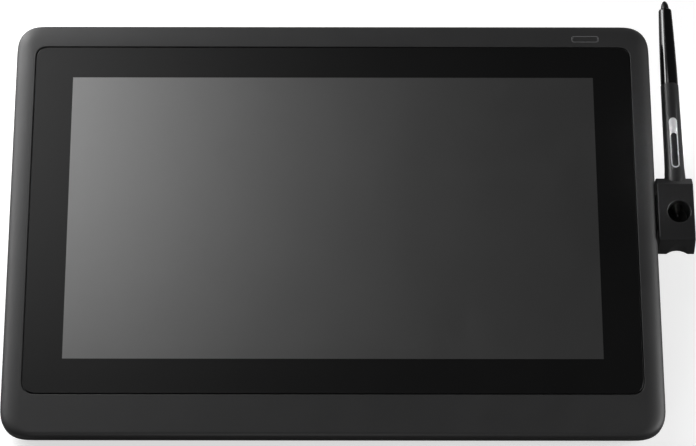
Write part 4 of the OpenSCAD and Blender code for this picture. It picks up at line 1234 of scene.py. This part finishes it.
    def openings(self) -> list[Form]:
        """Every cut through the rear cover from outside.

        Returns:
            The cutters.
        """
        cuts = self.feet_beds()
        cuts += self.rods(self.head_r, -OVER, self.head_seat)
        cuts += self.rods(self.shank_r, -OVER, self.form.seam + OVER)
        for leg in self.legs:
            cuts.append(flared(leg.pocket, self.pocket_depth, self.flare))
            cuts.append(leg.rod(self.pin_r, leg.half_w + self.pin_seat))
        cuts.append(flared(self.recess_outline, self.pocket_depth, self.flare))
        low, high = self.slab.box("cable_port")
        wall_y, gap = self.form.depth - self.recess[1], self.port_gap
        near = (low.x - gap, wall_y - self.pocket_wall - OVER, low.z - gap)
        cuts.append(Form.block(near, (high.x + gap, wall_y + OVER, high.z + gap)))
        x, z, width, height = self.lock
        slot = rounded_rect(x, z, width, height, height / 3, steps=4)
        rows = (self.form.depth - self.lock_reach, self.form.depth + OVER)
        cuts.append(Form.loft([[Vector((u, y, v)) for u, v in slot] for y in rows]))
        vent = capsule(self.form.depth - self.vent_inset, *self.vent, steps=6)
        for side in Side:
            for i in range(self.vents):
                x = side.value * (self.vent_x + i * self.vent_pitch)
                cuts.append(Form.prism([(x + v, u) for u, v in vent], -OVER, self.form.wall + OVER))
        return cuts

    def rear(self) -> None:
        """Builds the rear cover: a tray with bosses, leg pockets, the cable recess and vents."""
        form = self.form
        seam, wall = form.seam, form.wall
        turns = [math.pi / 2 * i / self.under_steps for i in range(self.under_steps)]
        levels = [seam * (1 - math.cos(t)) for t in turns]
        rings = [form.level(z) for z in levels]
        rings += [form.level(seam - self.seam_chamfer), form.level(seam, self.seam_chamfer)]
        hollow = [form.level(z, wall, at=z + wall) for z in levels if z + wall < seam]
        hollow.append(form.level(seam - wall, wall, at=seam + OVER))
        kept = self.rods(self.boss_r, -OVER, seam + 2 * OVER)
        roof = self.pocket_depth + self.pocket_wall
        for leg in self.legs:
            kept.append(Form.prism(leg.pocket(self.pocket_wall), -OVER, roof))
            kept.append(leg.rod(leg.thick / 2, leg.half_w + self.pin_seat + self.pocket_wall))
        kept.append(Form.prism(self.recess_outline(self.pocket_wall), -OVER, roof))
        low, high = self.slab.box("front_foot")
        kept.append(Form.block((low.x, 0, -OVER), (high.x, high.y + wall, self.foot_bed + wall)))
        radius, spots = self.discs()
        kept += [Form.rod(x, y, radius + wall, -OVER, self.foot_bed + wall) for x, y in spots]
        cavity = Form.loft(hollow).carved(Carve.CUT, kept)
        made = Form.loft(rings).carved(Carve.CUT, [cavity]).carved(Carve.CUT, self.openings())
        piece = Piece("rear_shell", Body.TABLET, "case_plastic", ("rear_cover",), (Finishes.CASE,))
        piece.show(made, self.slab.place)

    def feet(self) -> None:
        """Builds the long front foot and the two round rear feet."""
        low, high = self.slab.box("front_foot")
        slope = low.y + (self.foot_lip - low.z) / math.tan(self.slab.tilt)
        lip_r, slope_r, back_r = self.strip_r
        corners = [
            (low.y, high.z, 0),
            (low.y, self.foot_lip, lip_r),
            (slope, low.z, slope_r),
            (high.y, low.z, back_r),
            (high.y, high.z, 0),
        ]
        strip = Form.along_x(filleted(corners), low.x, high.x).bevelled(self.strip_edge, sharper_than=60)
        piece = Piece("front_foot_strip", Body.TABLET, "foot_rubber", ("front_foot",), (Finishes.RUBBER,))
        piece.show(strip, self.slab.place)
        low, high = self.slab.box("rear_feet")
        r, spots = self.discs()
        rim_r, dish_r = self.disc_r
        outer, inner, deep = self.disc_dish
        profile = [
            (0, high.z, 0),
            (r, high.z, 0),
            (r, low.z, rim_r),
            (outer * r, low.z, dish_r),
            (inner * r, low.z + deep, dish_r),
            (0, low.z + deep, 0),
        ]
        discs = []
        for x, y in spots:
            disc = Form.turned(filleted(profile, closed=False), closed=False)
            discs.append(disc.moved(Matrix.Translation((x, y, 0))))
        piece = Piece("rear_foot_discs", Body.TABLET, "foot_rubber", ("rear_feet",), (Finishes.RUBBER,))
        piece.show(Form.together(discs), self.slab.place)

    def build(self) -> None:
        """Builds every piece of the case."""
        self.bezel()
        self.rear()
        self.feet()


@dataclass
class Screen:
    """The cover glass, with its printed border and the picture area."""

    slab: Slab
    form: CaseForm
    chamfer: float = 0.1
    inset: float = 0.35
    active: tuple[float, float] = (344.2, 193.6)
    border_front: float = 23.0
    glass_r: float = 6.5
    weld: float = 0.01

    def build(self) -> None:
        """Builds the glass as one plate, with the picture area as a face of its own."""
        low, high = self.slab.box("cover_glass")
        gap = self.form.opening

        def outline(inset: float, z: float) -> Ring:
            """The glass's outline, drawn in by an amount."""
            grown = self.form.least_r - self.glass_r + self.inset + inset
            return self.form.ring(z, tuple(v + grown for v in gap))

        width, depth = self.active
        y0 = low.y + self.border_front
        corners = ((width / 2, y0 + depth), (-width / 2, y0 + depth), (-width / 2, y0), (width / 2, y0))
        spots = [Vector((x, y, high.z)) for x, y in corners]
        picture = [spot for spot in spots for _ in range(self.form.corner_steps + 1)]
        rings = [
            outline(self.chamfer, low.z),
            outline(0, low.z + self.chamfer),
            outline(0, high.z - self.chamfer),
            outline(self.chamfer, high.z),
            picture,
        ]
        plate = Form.loft(rings, caps=(True, False))
        rim = [next(v for v in plate.bm.verts if (v.co - spot).length < self.weld) for spot in spots]
        plate.bm.faces.new(rim).material_index = 1
        bmesh.ops.recalc_face_normals(plate.bm, faces=plate.bm.faces)
        finishes = (Finishes.INK, Finishes.PANEL)
        piece = Piece("screen_glass", Body.TABLET, "screen_glass", ("cover_glass",), finishes)
        piece.show(plate, self.slab.place)


@dataclass
class PowerButton:
    """The button and the light ring round it."""

    slab: Slab
    low_shift: Corner = (-0.75, 0.45, 0.0)
    high_shift: Corner = (0.35, 0.05, 0.0)
    ring_r: float = 1.6
    ring_wall: float = 0.75
    ring_fit: float = 0.05
    least_r: float = 0.05
    gap: float = 0.3
    flange: float = 1.0
    flange_t: float = 1.0
    edge: float = 0.18
    dish: float = 0.1

    def ring_box(self) -> tuple[Vector, Vector]:
        """The light ring's place: the frame's, a little wider and less deep."""
        low, high = self.slab.box("power_ring")
        return low + Vector(self.low_shift), high + Vector(self.high_shift)

    def outline(self, inset: float) -> Flat:
        """The light ring's outer outline, drawn in by an amount.

        Args:
            inset: the amount.

        Returns:
            The outline's points.
        """
        low, high = self.ring_box()
        middle = (low + high) / 2
        width, depth = (size - 2 * inset for size in (high.x - low.x, high.y - low.y))
        return rounded_rect(middle.x, middle.y, width, depth, max(self.ring_r - inset, self.least_r))

    def stack(self, steps: Sequence[tuple[float, float]]) -> list[Ring]:
        """Rings of that outline, for pairs of an amount that it is drawn in by and a height."""
        return [[Vector((x, y, z)) for x, y in self.outline(inset)] for inset, z in steps]

    def build(self) -> None:
        """Builds the ring on the tablet and the button on its own body."""
        low, high = self.ring_box()
        edge, wall, top = self.edge, self.ring_wall, high.z
        steps = [(0, low.z), (0, top - edge), (edge / 3, top - edge / 3), (edge, top)]
        steps += [(wall - edge, top), (wall - edge / 3, top - edge / 3), (wall, top - edge), (wall, low.z)]
        piece = Piece("button_light_ring", Body.TABLET, "light_ring", ("power_ring",), (Finishes.RING,))
        piece.show(Form.loft(self.stack(steps), looped=True), self.slab.place)
        low, high = self.slab.box("power_button")
        side, top, flange_top = wall + self.gap, high.z, low.z + self.flange_t
        rim = side - self.flange
        steps = [(rim, low.z), (rim, flange_top), (side, flange_top), (side, top - edge)]
        steps += [(side + edge / 3, top - edge / 3), (side + edge, top), (side + 3 * edge, top)]
        steps.append((side + 6 * edge, top - self.dish))
        piece = Piece("button_cap", Body.BUTTON, "button_plastic", ("power_button",), (Finishes.BUTTON,))
        piece.show(Form.loft(self.stack(steps)), self.slab.place)


@dataclass
class Holder:
    """The block at the tablet's side that the pen stands in."""

    slab: Slab
    pen: Matrix
    gap: float = 1.0
    edge: float = 0.9
    edge_segments: int = 4
    chamfer: float = 6.0
    front_r: float = 2.2
    foot_r: float = 0.8
    back_r: float = 0.7
    side_spread: float = 1.5
    front_spread: float = 3.6
    well_r: float = 7.45
    well_y: float = 19.4
    well_depth: float = 14.0
    well_lip: float = 0.45
    well_floor_r: float = 0.8
    round_steps: int = 72
    tongue_edge: float = 0.25
    scoop: tuple[float, float, float] = (11.6, 2.5, 17.0)
    bore: tuple[Corner, ...] = (
        (0, -2, 0),
        (1.7, -2, 0.3),
        (1.7, 1.6, 0),
        (5.85, 14, 0),
        (7.45, 23, 1),
        (7.45, 60, 0),
        (0, 60, 0),
    )

    def block(self, low: Vector, high: Vector) -> Form:
        """The block's body, drawn out from its side view.

        Args:
            low: the lowest corner of its top's box.
            high: the highest corner.

        Returns:
            The block, spread towards its foot.
        """
        y0, y1, z0, z1 = low.y, high.y, low.z, high.z
        corners = [
            (y0, z0, self.foot_r),
            (y0, z1, self.front_r),
            (y1 - self.chamfer, z1, self.back_r),
            (y1, z1 - self.chamfer, self.back_r),
            (y1, z0, self.foot_r),
        ]
        made = Form.along_x(filleted(corners), low.x, high.x)
        made.bevelled(self.edge, segments=self.edge_segments, sharper_than=60)
        for vert in made.bm.verts:
            down = (z1 - vert.co.z) / (z1 - z0)
            vert.co.x += self.side_spread * down * (vert.co.x - low.x) / (high.x - low.x)
            vert.co.y -= self.front_spread * down * (y1 - vert.co.y) / (y1 - y0)
        return made

    def scoop_cut(self, low: Vector, high: Vector, middle: float) -> Form:
        """The hollow in the front end, a leaning round groove that is deepest at the bottom.

        Args:
            low: the lowest corner of the block's box.
            high: the highest corner.
            middle: where the groove's middle is across the block.

        Returns:
            The cutter.
        """
        radius, depth, rise = self.scoop
        lean = self.front_spread / (high.z - low.z) - depth / rise
        rings = []
        for up in (-OVER, rise + OVER):
            back = low.y - self.front_spread + depth + lean * up
            outline = circle(middle, back - radius, radius, 2 * self.round_steps)
            rings.append([Vector((x, y, low.z + up)) for x, y in outline])
        return Form.loft(rings)

    def build(self) -> None:
        """Builds the block with its tongue, well, bore and scoop."""
        low, high = self.slab.box("pen_holder")
        side = self.slab.box("front_bezel")[1].x
        start, stop = self.slab.box("pen_holder", left_of=side)
        low.x = side + self.gap
        high.x -= self.side_spread
        low.y += self.front_spread
        tongue = Form.block(start, (low.x + 2 * OVER, stop.y, stop.z)).bevelled(self.tongue_edge)
        pen_x = self.pen.translation.x
        r, top, lip = self.well_r, high.z, self.well_lip
        floor = top - self.well_depth
        profile = [(0, floor, 0), (r, floor, self.well_floor_r), (r, top - lip, lip)]
        profile += [(r + lip, top, 0), (r + lip, top + OVER, 0), (0, top + OVER, 0)]
        well, bore = (
            Form.turned(filleted(line, closed=False), closed=False, steps=self.round_steps)
            for line in (profile, self.bore)
        )
        well.moved(Matrix.Translation((pen_x, low.y + self.well_y, 0)))
        bore.moved(self.pen)
        made = self.block(low, high).carved(Carve.JOIN, [tongue])
        for cut in (well, bore, self.scoop_cut(low, high, pen_x)):
            made = made.carved(Carve.CUT, [cut])
        piece = Piece("holder_block", Body.HOLDER, "holder_plastic", ("pen_holder",), (Finishes.HOLDER,))
        piece.show(made, self.slab.place)


@dataclass
class Pen:
    """The pen, drawn upright from its nib's tip with its side switch towards -y."""

    slab: Slab
    place: Matrix
    nib_r: float = 0.75
    nib_gap: float = 0.2
    nose_r: float = 1.35
    nose_rim: tuple[float, float] = (0.15, 0.2)
    nose_bulge: float = 0.6
    nose_steps: int = 10
    nose_edge: tuple[float, float, float] = (0.05, 0.35, 0.3)
    nose_bore: tuple[float, float, float] = (3.1, 4.5, 5.4)
    core_r: float = 4.35
    grip: tuple[Corner, ...] = ((14, 5.5, 0.13), (25, 6.95, 0.0), (36, 6.46, -0.012), (93, 5.92, -0.009))
    grip_edge: float = 0.2
    grip_steps: int = 48
    slot_lifts: tuple[float, ...] = (-2.9, -1.5, 0, 1.5)
    barrel_r: tuple[float, float, float] = (5.75, 4.28, 0.2)
    barrel_steps: int = 30
    barrel_rim: float = 0.15
    barrel_edge: float = 0.95
    edge_steps: int = 5
    barrel_bore: tuple[float, float] = (0.55, 3.0)
    tenon: tuple[float, float] = (0.3, 9.5)
    throat: tuple[float, float] = (0.2, 2.0)
    throat_edge: tuple[float, float] = (0.1, 0.15)
    eraser_r: float = 2.95
    eraser_edge: tuple[float, float] = (0.12, 0.4)
    eraser_tip_r: float = 2.7
    eraser_step: float = 0.15
    eraser_power: float = 0.52
    eraser_steps: int = 20
    eraser_body: float = 6.0
    stem_r: float = 1.2
    trim: tuple[float, float] = (35.4, 5.3)
    trim_rise: float = 0.2
    trim_edge: float = 0.15
    trim_steps: int = 4
    hole: tuple[float, float] = (24.0, 4.1)
    hole_edge: float = 0.1
    rocker: tuple[float, float] = (23.4, 3.6)
    rocker_sides: tuple[float, float] = (-1.1, 0.2)
    rocker_rise: float = 0.5
    rocker_edge: tuple[float, float] = (0.08, 0.38)
    rocker_insets: tuple[float, ...] = (0.25, 0.8, 1.5)
    rocker_dip: float = 0.22
    dip_run: float = 2.4
    deep: float = 1.5
    fit: float = 0.05

    @staticmethod
    def placed(slab: Slab) -> Matrix:
        """The pen's frame inside the lying tablet's, from its joint's axis and its nib.

        Args:
            slab: the lying tablet's frame.

        Returns:
            The frame, upright from the nib's tip.
        """
        axis = slab.place.to_3x3().inverted() @ Vector(joint("pen_pull")["axis"])
        lean = math.atan2(-axis.x, axis.y)
        turn = Matrix.Rotation(lean, 4, "Z") @ Matrix.Rotation(-math.pi / 2, 4, "X")
        low, high = slab.box("pen_core_tube", turn)
        tip = slab.box("pen_nib", turn)[0].z
        return turn @ Matrix.Translation(((low.x + high.x) / 2, (low.y + high.y) / 2, tip))

    def span(self, node: str) -> tuple[float, float]:
        """Where a node of the pen starts and ends along its axis."""
        low, high = self.slab.box(node, self.place)
        return low.z, high.z

    def grip_radius(self, s: float) -> float:
        """Radius of the grip at a place along the pen, on a smooth curve through its stations.

        Args:
            s: the place, from the nib's tip.

        Returns:
            The radius.
        """
        for (s0, r0, m0), (s1, r1, m1) in zip(self.grip, self.grip[1:]):
            if s <= s1:
                break
        run = s1 - s0
        t = (s - s0) / run
        return (
            (2 * t**3 - 3 * t**2 + 1) * r0
            + (t**3 - 2 * t**2 + t) * run * m0
            + (3 * t**2 - 2 * t**3) * r1
            + (t**3 - t**2) * run * m1
        )

    def on_grip(self, s: float, across: float, lift: float) -> Vector:
        """A point over the grip's surface on the switch's side."""
        radius = self.grip_radius(s) + lift
        return Vector((across, -math.sqrt(max(radius * radius - across * across, 0.0)), s))

    def over(self, outline: Flat, lift: float) -> Ring:
        """An outline laid on the grip's surface at a lift."""
        return [self.on_grip(s, across, lift) for s, across in outline]

    def show(
        self, form: Form, name: str, node: str, finish: Finish, slot: str, body: Body = Body.PEN
    ) -> None:
        """Shows one piece of the pen."""
        Piece(name, body, slot, (node,), (finish,)).show(form, self.slab.place @ self.place)

    def tip(self) -> None:
        """Builds the nib and the cone that it looks out of."""
        start, stop = self.span("pen_nib")
        r = self.nib_r
        turns = [math.pi / 12 * i for i in range(7)]
        profile = [(r * math.sin(t), start + r * (1 - math.cos(t))) for t in turns]
        profile += [(r, stop), (0, stop)]
        made = Form.turned(profile, closed=False, steps=32)
        self.show(made, "nib_tip", "pen_nib", Finishes.NIB, "pen_plastic", Body.NIB)
        start, stop = self.span("pen_nose")
        grip_s, grip_r = self.grip[0][:2]
        bore, (rim, rim_s) = self.nib_r + self.nib_gap, self.nose_rim
        cone = [(bore, start), (self.nose_r - rim, start), (self.nose_r, start + rim_s)]
        for i in range(1, self.nose_steps):
            t = i / self.nose_steps
            r = self.nose_r + (grip_r - self.nose_r) * t + self.nose_bulge * t * (1 - t)
            cone.append((r, start + (grip_s - start) * t))
        drawn, edge_s, edge = self.nose_edge
        cone += [(grip_r - drawn, grip_s - edge_s), (grip_r - edge, grip_s)]
        cone += [(self.core_r, grip_s), (self.core_r, stop)]
        wide, wide_s, bore_s = self.nose_bore
        cone += [(wide, stop), (wide, grip_s - wide_s), (bore, grip_s - bore_s)]
        self.show(Form.turned(cone), "nose_cone", "pen_nose", Finishes.PEN, "pen_plastic")

    def sleeve(self) -> None:
        """Builds the soft grip, with the slot that the side switch sits in."""
        start, stop = self.span("pen_grip")
        inner, edge, steps = self.core_r + self.fit, self.grip_edge, self.grip_steps
        places = [start + edge + (stop - start - 2 * edge) * i / steps for i in range(steps + 1)]
        profile = [(inner, start), (self.grip_radius(start) - edge, start)]
        profile += [(self.grip_radius(s), s) for s in places]
        profile += [(self.grip_radius(stop) - edge, stop), (inner, stop)]
        length, width = self.trim
        outline = capsule(self.trim_mid(), length + 2 * self.fit, width + 2 * self.fit)
        slot = Form.loft([self.over(outline, lift) for lift in self.slot_lifts])
        made = Form.turned(profile, steps=72).carved(Carve.CUT, [slot])
        self.show(made, "grip_sleeve", "pen_grip", Finishes.GRIP, "pen_rubber")

    def trim_mid(self) -> float:
        """The middle of the side switch's trim along the pen."""
        return sum(self.span("pen_switch_frame")) / 2

    def rocker_mid(self) -> float:
        """The middle of the side switch along the pen."""
        return sum(self.span("pen_side_switch")) / 2

    def switch(self) -> None:
        """Builds the silver trim and the rocker inside it."""
        middle, pivot, rise = self.trim_mid(), self.rocker_mid(), self.trim_rise
        edge, lip = self.trim_edge, self.hole_edge
        outer, drawn = (capsule(middle, *(v - 2 * inset for v in self.trim)) for inset in (0, edge))
        hole, near = (capsule(pivot, *(v + 2 * grown for v in self.hole)) for grown in (0, lip))
        rings = [self.over(outer, -self.deep), self.over(outer, rise - edge)]
        for i in range(self.trim_steps + 1):
            share = i / self.trim_steps
            mixed = [tuple(Vector(a).lerp(Vector(b), share)) for a, b in zip(drawn, near)]
            rings.append(self.over(mixed, rise))
        rings += [self.over(hole, rise - lip), self.over(hole, -self.deep)]
        made = Form.loft(rings, looped=True)
        self.show(made, "switch_trim", "pen_switch_frame", Finishes.SILVER, "pen_silver")
        length, width = self.rocker
        rings = [self.over(capsule(pivot, length, width), lift) for lift in self.rocker_sides]
        for inset, lift in (self.rocker_edge, *((v, self.rocker_rise) for v in self.rocker_insets)):
            outline = capsule(pivot, length - 2 * inset, width - 2 * inset)
            rings.append([self.on_grip(s, v, lift - self.dip(s - pivot)) for s, v in outline])
        spine = [(s, 0.0) for s, _ in capsule(pivot, length - width, 0.0)]
        rings.append([self.on_grip(s, v, self.rocker_rise - self.dip(s - pivot)) for s, v in spine])
        made = Form.loft(rings, caps=(True, False))
        self.show(made, "switch_rocker", "pen_side_switch", Finishes.PEN, "pen_plastic", Body.ROCKER)

    def dip(self, from_pivot: float) -> float:
        """How far the rocker's top sinks between its two ends."""
        return self.rocker_dip * math.exp(-((from_pivot / self.dip_run) ** 2))

    def shaft(self) -> None:
        """Builds the polished barrel and the eraser in its end."""
        start, stop = self.span("pen_barrel")
        front, back, swell = self.barrel_r
        shares = [i / self.barrel_steps for i in range(1, self.barrel_steps)]
        inner, (tenon, tenon_s) = self.core_r + self.fit, self.tenon
        profile = [(inner, start), (front - self.barrel_rim, start)]
        for t in shares:
            r = front + (back - front) * t + 4 * swell * t * (1 - t)
            profile.append((r, start + (stop - start) * t))
        edge = self.barrel_edge
        for i in range(self.edge_steps + 1):
            turn = math.pi / 2 * i / self.edge_steps
            profile.append((back - edge * (1 - math.cos(turn)), stop - edge * (1 - math.sin(turn))))
        gap, depth = self.throat
        flare, flare_s = self.throat_edge
        wall, bore_s = self.barrel_bore
        throat = self.eraser_r + gap
        profile += [(throat + flare, stop), (throat, stop - flare_s), (throat, stop - depth)]
        profile += [(back - wall, stop - bore_s), (self.core_r - tenon, start + tenon_s)]
        profile.append((inner, start + tenon_s))
        self.show(Form.turned(profile), "barrel_shaft", "pen_barrel", Finishes.GLOSS, "pen_gloss")
        low, end = self.span("pen_eraser")
        base, r, step = stop - self.eraser_body, self.eraser_r, self.eraser_step
        edge, edge_s = self.eraser_edge
        profile = [(0, low), (self.stem_r, low), (self.stem_r, base), (r, base)]
        profile += [(r, stop - edge_s), (r - edge, stop)]
        for i in range(self.eraser_steps + 1):
            t = i / self.eraser_steps
            radius = self.eraser_tip_r * (1 - t**2) ** self.eraser_power
            profile.append((radius, stop + step + (end - stop - step) * t))
        made = Form.turned(profile, closed=False, steps=48)
        self.show(made, "eraser_tip", "pen_eraser", Finishes.PEN, "pen_plastic", Body.ERASER)

    def build(self) -> None:
        """Builds every outer piece of the pen."""
        self.tip()
        self.sleeve()
        self.switch()
        self.shaft()


@dataclass
class Light:
    """A soft box of the studio."""

    name: str
    place: Corner
    size: tuple[float, float]
    power: float
    aim: Corner = (0.0, 0.12, 0.05)
    spread: float = 180.0

    def build(self) -> None:
        """Makes the light and turns it to its aim."""
        data = bpy.data.lights.new(self.name, "AREA")
        data.shape = "RECTANGLE"
        data.size, data.size_y = self.size
        data.energy = self.power
        data.spread = math.radians(self.spread)
        made = bpy.data.objects.new(self.name, data)
        made.location = self.place
        made.visible_camera = False
        made.rotation_euler = (Vector(self.aim) - Vector(self.place)).to_track_quat("-Z", "Y").to_euler()
        bpy.context.scene.collection.objects.link(made)


@dataclass
class Studio:
    """The floor, the lights and the camera."""

    eye: Corner = (-0.0043, -0.84067, 1.26865)
    downward: float = 51.54
    lens: float = 122.69
    sensor: float = 36.0
    roll: float = 0.065
    shift: float = 0.0312
    lights: tuple[Light, ...] = (
        Light("key", (-0.6, 0.47, 0.63), (0.35, 0.35), 3.4),
        Light("key_side", (-0.5, 0.25, 0.2), (0.5, 0.2), 1.4),
        Light("key_near", (-0.4, 0.5, 0.3), (0.3, 0.3), 0.8),
        Light("fill", (0.9, -0.04, 0.25), (0.5, 0.5), 5.4),
        Light("front", (-0.05, -0.65, 0.33), (0.3, 0.3), 0.75),
        Light("top", (-0.45, 0.22, 1.5), (0.4, 0.4), 0.9),
        Light("top_back", (-0.4, 0.65, 1.0), (0.35, 0.35), 0.7),
        Light("pen_grid", (-0.075, -0.53, 0.73), (0.05, 0.05), 0.0078, (0.226, 0.172, 0.079), 5.0),
        Light("rear_left", (-0.6, 1.1, 0.26), (0.5, 0.3), 2.2, (0.0, 0.25, 0.06)),
        Light("rear_right", (0.6, 1.1, 0.26), (0.5, 0.3), 0.8, (0.0, 0.25, 0.06)),
    )
    floor_size: float = 12.0
    floor_glow: float = 0.61
    floor_tone: float = 0.61
    floor_bounce: float = 0.2
    floor_roughness: float = 0.9
    ambient: float = 0.022

    def camera(self) -> None:
        """Stands the camera where the photograph was taken from."""
        data = bpy.data.cameras.new("camera")
        data.lens = self.lens
        data.sensor_width = self.sensor
        data.shift_x = self.shift
        made = bpy.data.objects.new("camera", data)
        made.location = self.eye
        aim = Matrix.Rotation(math.radians(90 - self.downward), 4, "X")
        made.rotation_euler = (aim @ Matrix.Rotation(math.radians(self.roll), 4, "Z")).to_euler()
        bpy.context.scene.collection.objects.link(made)
        bpy.context.scene.camera = made

    def floor(self) -> None:
        """Lays a pale floor that glows a little, so that shadows on it stay light."""
        half = self.floor_size / 2
        outline = [(-half, -half), (half, -half), (half, half), (-half, half)]
        sheet = Form()
        sheet.bm.faces.new([sheet.bm.verts.new((x, y, 0)) for x, y in outline])
        made = sheet.as_object("floor")
        material = bpy.data.materials.new("pale_floor")
        material.use_nodes = True
        tree = Tree(material.node_tree)
        seen = tree.add("LightPath").outputs["Is Camera Ray"]
        bounce, tone = ((v, v, v, 1.0) for v in (self.floor_bounce, self.floor_tone))
        surface = material.node_tree.nodes["Principled BSDF"]
        tree.tree.links.new(tree.blend(seen, bounce, tone), surface.inputs["Base Color"])
        glow = tree.math("MULTIPLY", seen, self.floor_glow)
        tree.tree.links.new(glow, surface.inputs["Emission Strength"])
        surface.inputs["Roughness"].default_value = self.floor_roughness
        surface.inputs["Specular IOR Level"].default_value = 0.0
        surface.inputs["Emission Color"].default_value = WHITE
        made.data.materials.append(material)

    def surroundings(self) -> None:
        """Makes a room that is white to the eye, and dim in the object's reflections."""
        world = bpy.data.worlds.new("room")
        world.use_nodes = True
        tree = Tree(world.node_tree)
        seen = tree.add("LightPath").outputs["Is Camera Ray"]
        strength = tree.add("Mix", {0: seen, 2: self.ambient, 3: 1.0}).outputs[0]
        world.node_tree.links.new(strength, world.node_tree.nodes["Background"].inputs["Strength"])
        world.node_tree.nodes["Background"].inputs["Color"].default_value = WHITE
        bpy.context.scene.world = world
        bpy.context.scene.view_settings.view_transform = "Standard"

    def build(self) -> None:
        """Builds the whole studio."""
        self.surroundings()
        self.floor()
        self.camera()
        for light in self.lights:
            light.build()


def carry_over() -> None:
    """Gives every CAD node that stays its finish."""
    for finish, nodes in CARRIED:
        for name in nodes:
            node = frame["nodes"][name]
            node.data.materials.clear()
            node.data.materials.append(finish.material())
            LOG.info("%s: %s", name, finish.name)


def main() -> None:
    """Builds the studio and every sub-assembly."""
    logging.basicConfig(level=logging.INFO, format="%(message)s")
    Studio().build()
    slab = Slab.from_frame()
    form = CaseForm.from_slab(slab)
    legs = [Leg.from_slab(slab, side) for side in Side]
    button = PowerButton(slab)
    Case(slab, form, legs, button).build()
    Screen(slab, form).build()
    button.build()
    for leg in legs:
        leg.build()
    pen = Pen.placed(slab)
    Holder(slab, pen).build()
    Pen(slab, pen).build()
    carry_over()


if __name__ == "__main__":
    main()
